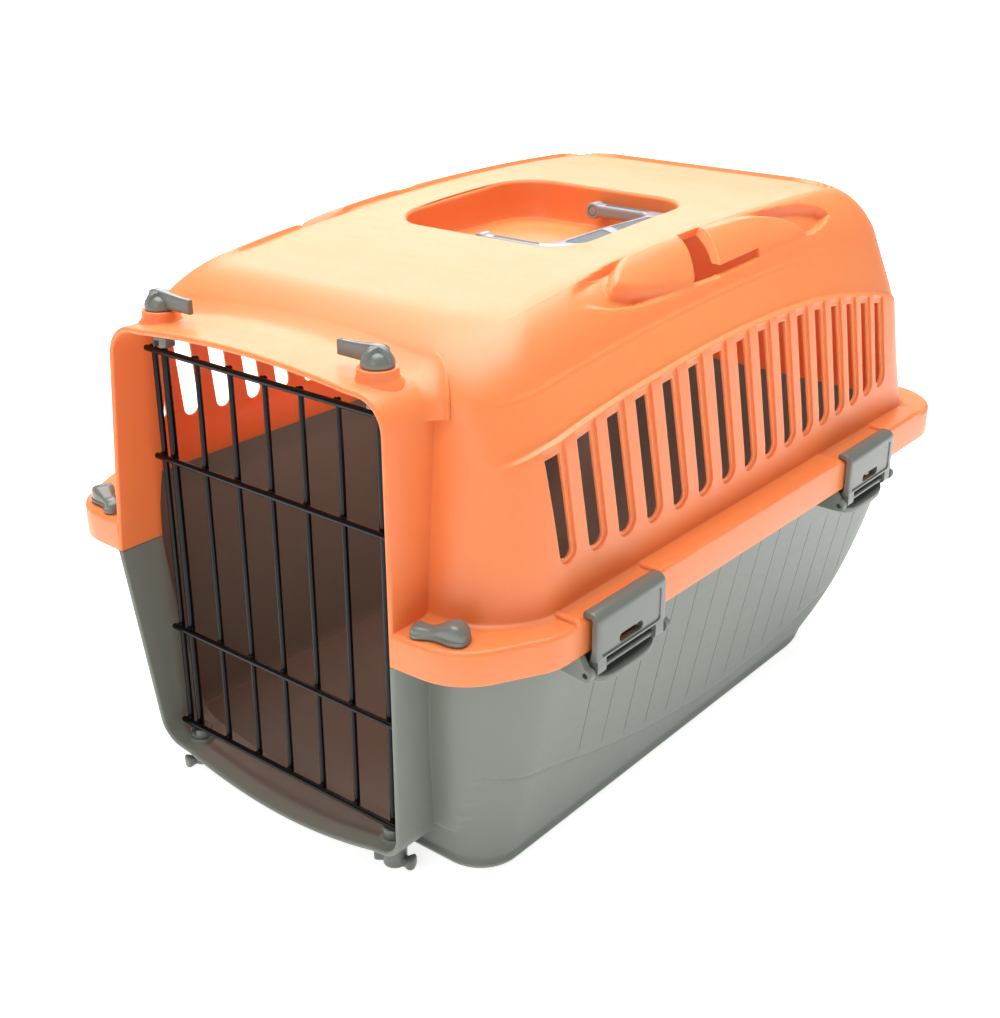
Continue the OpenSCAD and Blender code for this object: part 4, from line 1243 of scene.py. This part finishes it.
class CARRIER_OT_handle(PieceOperator, bpy.types.Operator):
    """Builds the folding handle with its inlays and pivots"""

    bl_idname = "carrier.handle"
    bl_label = "Handle"

    def build(self, s, m):
        z, half, wide = s.pivot_z, s.well_l / 2 - 5, s.well_w / 2
        outer = [[0, -half], [38, -half], [wide - 1.6, -half + 1, 15], [wide - 1.6, half - 1, 15], [38, half],
                 [0, half], [-1, half - 4, 3], [0, half - 8], [36, half - 7.6, 6], [wide - 21, half - 14, 9],
                 [wide - 22.5, 0], [wide - 21, 14 - half, 9], [36, 7.6 - half, 6], [0, 8 - half],
                 [-1, 4 - half, 3]]
        bail = loft("handle_bail", slab(outer, z - 4, z + 4, 3.0, 2.0, 8, 0, 6), "flat")
        eye = ((4.2, 0), (5, 0.8), (5, 7.2), (4.2, 8))
        joined(bail, *[loft("eye", turned_y([(r, side * half - side * v) for r, v in eye], 0, z), "flat")
                       for side in (-1, 1)])
        plans = self.plans(s, half)
        beds = [slab(q, z + 2.9, z + 9, 0, 0, 5) for q in plans]
        cut(bail, lofts("beds", beds), loft("bore", turned_y([(3, -70), (3, 70)], 0, z), "flat"))
        moved(bail, place=(0, s.well_y, 0))
        placed(bail, "handle", m.silver, ["handle_frame"], 40)
        for name, group in (("grip_inlays", plans[:2]), ("arm_inlays", plans[2:])):
            piece = lofts(name, [slab(q, z + 2.92, z + 3.85, 0, 0.4, 5, 0.12) for q in group])
            moved(piece, place=(0, s.well_y, 0))
            placed(piece, "handle", m.inlay, [f"handle_{name}"])
        for side, name in ((-1, "front"), (1, "rear")):
            y1, y2 = s.well_y + side * (half - 8), s.well_y + side * (s.well_l / 2 + s.wall + 2)
            profile = [(TIP, y1), (2.4, y1), (3, y1 + side * 0.6), (3, y2 - side * 0.6), (2.4, y2), (TIP, y2)]
            pin = loft(f"{name}_pin", turned_y(profile, 0, z), "flat")
            placed(pin, "handle", m.silver, [f"handle_{name}_pivot"])

    def plans(self, s, half):
        """Outlines of the two inlays of the grip, split by a diagonal rib, and of the two arms."""
        x0, x1 = s.well_w / 2 - 19, s.well_w / 2 - 6  # inner and outer side of the grip
        rear = [[x0, 6, 1.2], [x1, -1, 1.2], [x1, half - 20, 3], [x0 + 2, half - 14, 3]]
        front = [[x0, -2, 1.2], [x0 + 2, 14 - half, 3], [x1, 20 - half, 3], [x1, -9, 1.2]]
        arm = [[8, half - 6.2, 1], [36, half - 6.0, 1], [41, half - 2.6, 1], [8, half - 1.8, 1]]
        return [rear, front, arm, [[x, -y, r] for x, y, r in arm[::-1]]]


class CARRIER_OT_stage(bpy.types.Operator):
    """Builds the white floor, the lights, the surroundings and the camera"""

    bl_idname = "carrier.stage"
    bl_label = "Stage"

    def execute(self, context):
        view, scene = context.scene.carrier_view, context.scene
        low, high = (np.array(v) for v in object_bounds())
        middle = Vector(((low + high) / 2).tolist())
        corners = np.array([[-1, -1, 0], [1, -1, 0], [1, 1, 0], [-1, 1, 0]]) * FLOOR_HALF
        floor = mesh_object("floor", corners + [0, 0, low[2] / MM - 0.2], [[0, 1, 2, 3]])
        material = bpy.data.materials.new("white floor")
        material.use_nodes = True
        shader = material.node_tree.nodes["Principled BSDF"]
        shader.inputs["Base Color"].default_value = (*scene.carrier_colours.floor, 1)
        shader.inputs["Roughness"].default_value = 0.9
        shader.inputs["Emission Color"].default_value = (1, 1, 1, 1)
        shader.inputs["Emission Strength"].default_value = 0.74
        floor.data.materials.append(material)
        floor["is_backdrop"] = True
        self.light("top light", view.key, (1.6, 1.6), middle + Vector((-0.15, 0.05, 1.5)), middle)
        self.light("rear light", view.back, (2.0, 0.9), middle + Vector((-1.3, 1.55, 1.15)),
                   middle + Vector((0, 0, 0.1)))
        self.light("front light", view.fill, (0.7, 0.7), middle + Vector((0.35, -1.5, 0.55)), middle)
        glow = bpy.data.lights.new("light through the shells", "POINT")
        glow.energy, glow.color, glow.shadow_soft_size = view.inside, (1.0, 0.64, 0.6), 0.05
        lamp = bpy.data.objects.new("light through the shells", glow)
        lamp.location = middle + Vector((0, 0.02, 0.045))
        lamp.visible_camera = False
        scene.collection.objects.link(lamp)
        world = bpy.data.worlds.new("white surroundings")
        world.use_nodes = True
        tree = world.node_tree
        around = tree.nodes["Background"]
        around.inputs["Color"].default_value = (1, 1, 1, 1)
        around.inputs["Strength"].default_value = view.ambient
        # the camera sees plain white, and the rest gets the ambient light
        kinds = ("Background", "MixShader", "LightPath")
        seen, mix, path = (tree.nodes.new(f"ShaderNode{kind}") for kind in kinds)
        seen.inputs["Color"].default_value = (1, 1, 1, 1)
        tree.links.new(path.outputs["Is Camera Ray"], mix.inputs["Fac"])
        tree.links.new(around.outputs["Background"], mix.inputs[1])
        tree.links.new(seen.outputs["Background"], mix.inputs[2])
        tree.links.new(mix.outputs["Shader"], tree.nodes["World Output"].inputs["Surface"])
        scene.world = world
        aim = middle + Vector(view.aim)
        out, up = math.cos(view.elevation), math.sin(view.elevation)
        direction = Vector((math.sin(view.azimuth) * out, -math.cos(view.azimuth) * out, up))
        data = bpy.data.cameras.new("camera")
        data.lens, data.sensor_width, data.clip_start = view.lens, 36, 0.01
        camera = bpy.data.objects.new("camera", data)
        camera.location = aim + direction * view.distance
        camera.rotation_euler = (-direction).to_track_quat("-Z", "Y").to_euler()
        scene.collection.objects.link(camera)
        scene.camera = camera
        scene.view_settings.view_transform = "Standard"
        return {"FINISHED"}

    def light(self, name, power, size, place, aim):
        """A rectangular light at place that faces aim."""
        data = bpy.data.lights.new(name, "AREA")
        data.shape, data.size, data.size_y, data.energy = "RECTANGLE", size[0], size[1], power
        lamp = bpy.data.objects.new(name, data)
        lamp.location = place
        lamp.rotation_euler = (aim - place).to_track_quat("-Z", "Y").to_euler()
        bpy.context.scene.collection.objects.link(lamp)


class CARRIER_PT_panel(bpy.types.Panel):
    """Sizes and colours of the carrier, and buttons that build its pieces"""

    bl_label = "Pet transport carrier"
    bl_idname = "CARRIER_PT_panel"
    bl_space_type = "VIEW_3D"
    bl_region_type = "UI"
    bl_category = "Carrier"

    def draw(self, context):
        for group in (context.scene.carrier_sizes, context.scene.carrier_colours, context.scene.carrier_view):
            box = self.layout.box()
            for key in type(group).__annotations__:
                box.prop(group, key)
        for operator in OPERATORS:
            self.layout.operator(operator.bl_idname)


GROUPS = {"carrier_sizes": CarrierSizes, "carrier_colours": CarrierColours, "carrier_view": CarrierView}
OPERATORS = (CARRIER_OT_stage, CARRIER_OT_top_shell, CARRIER_OT_base_shell, CARRIER_OT_door, CARRIER_OT_knobs,
             CARRIER_OT_corner_locks, CARRIER_OT_clips, CARRIER_OT_handle)


def register():
    for item in (*GROUPS.values(), *OPERATORS, CARRIER_PT_panel):
        bpy.utils.register_class(item)
    for key, group in GROUPS.items():
        setattr(bpy.types.Scene, key, bpy.props.PointerProperty(type=group))


def unregister():
    for key in GROUPS:
        delattr(bpy.types.Scene, key)
    for item in (CARRIER_PT_panel, *OPERATORS[::-1], *list(GROUPS.values())[::-1]):
        bpy.utils.unregister_class(item)


def main():
    """Builds the stage and every piece."""
    register()
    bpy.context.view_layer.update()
    bpy.ops.carrier.stage()
    bpy.ops.carrier.top_shell()
    bpy.ops.carrier.base_shell()
    bpy.ops.carrier.door()
    bpy.ops.carrier.knobs()
    bpy.ops.carrier.corner_locks()
    bpy.ops.carrier.clips()
    bpy.ops.carrier.handle()


if __name__ == "__main__":
    main()
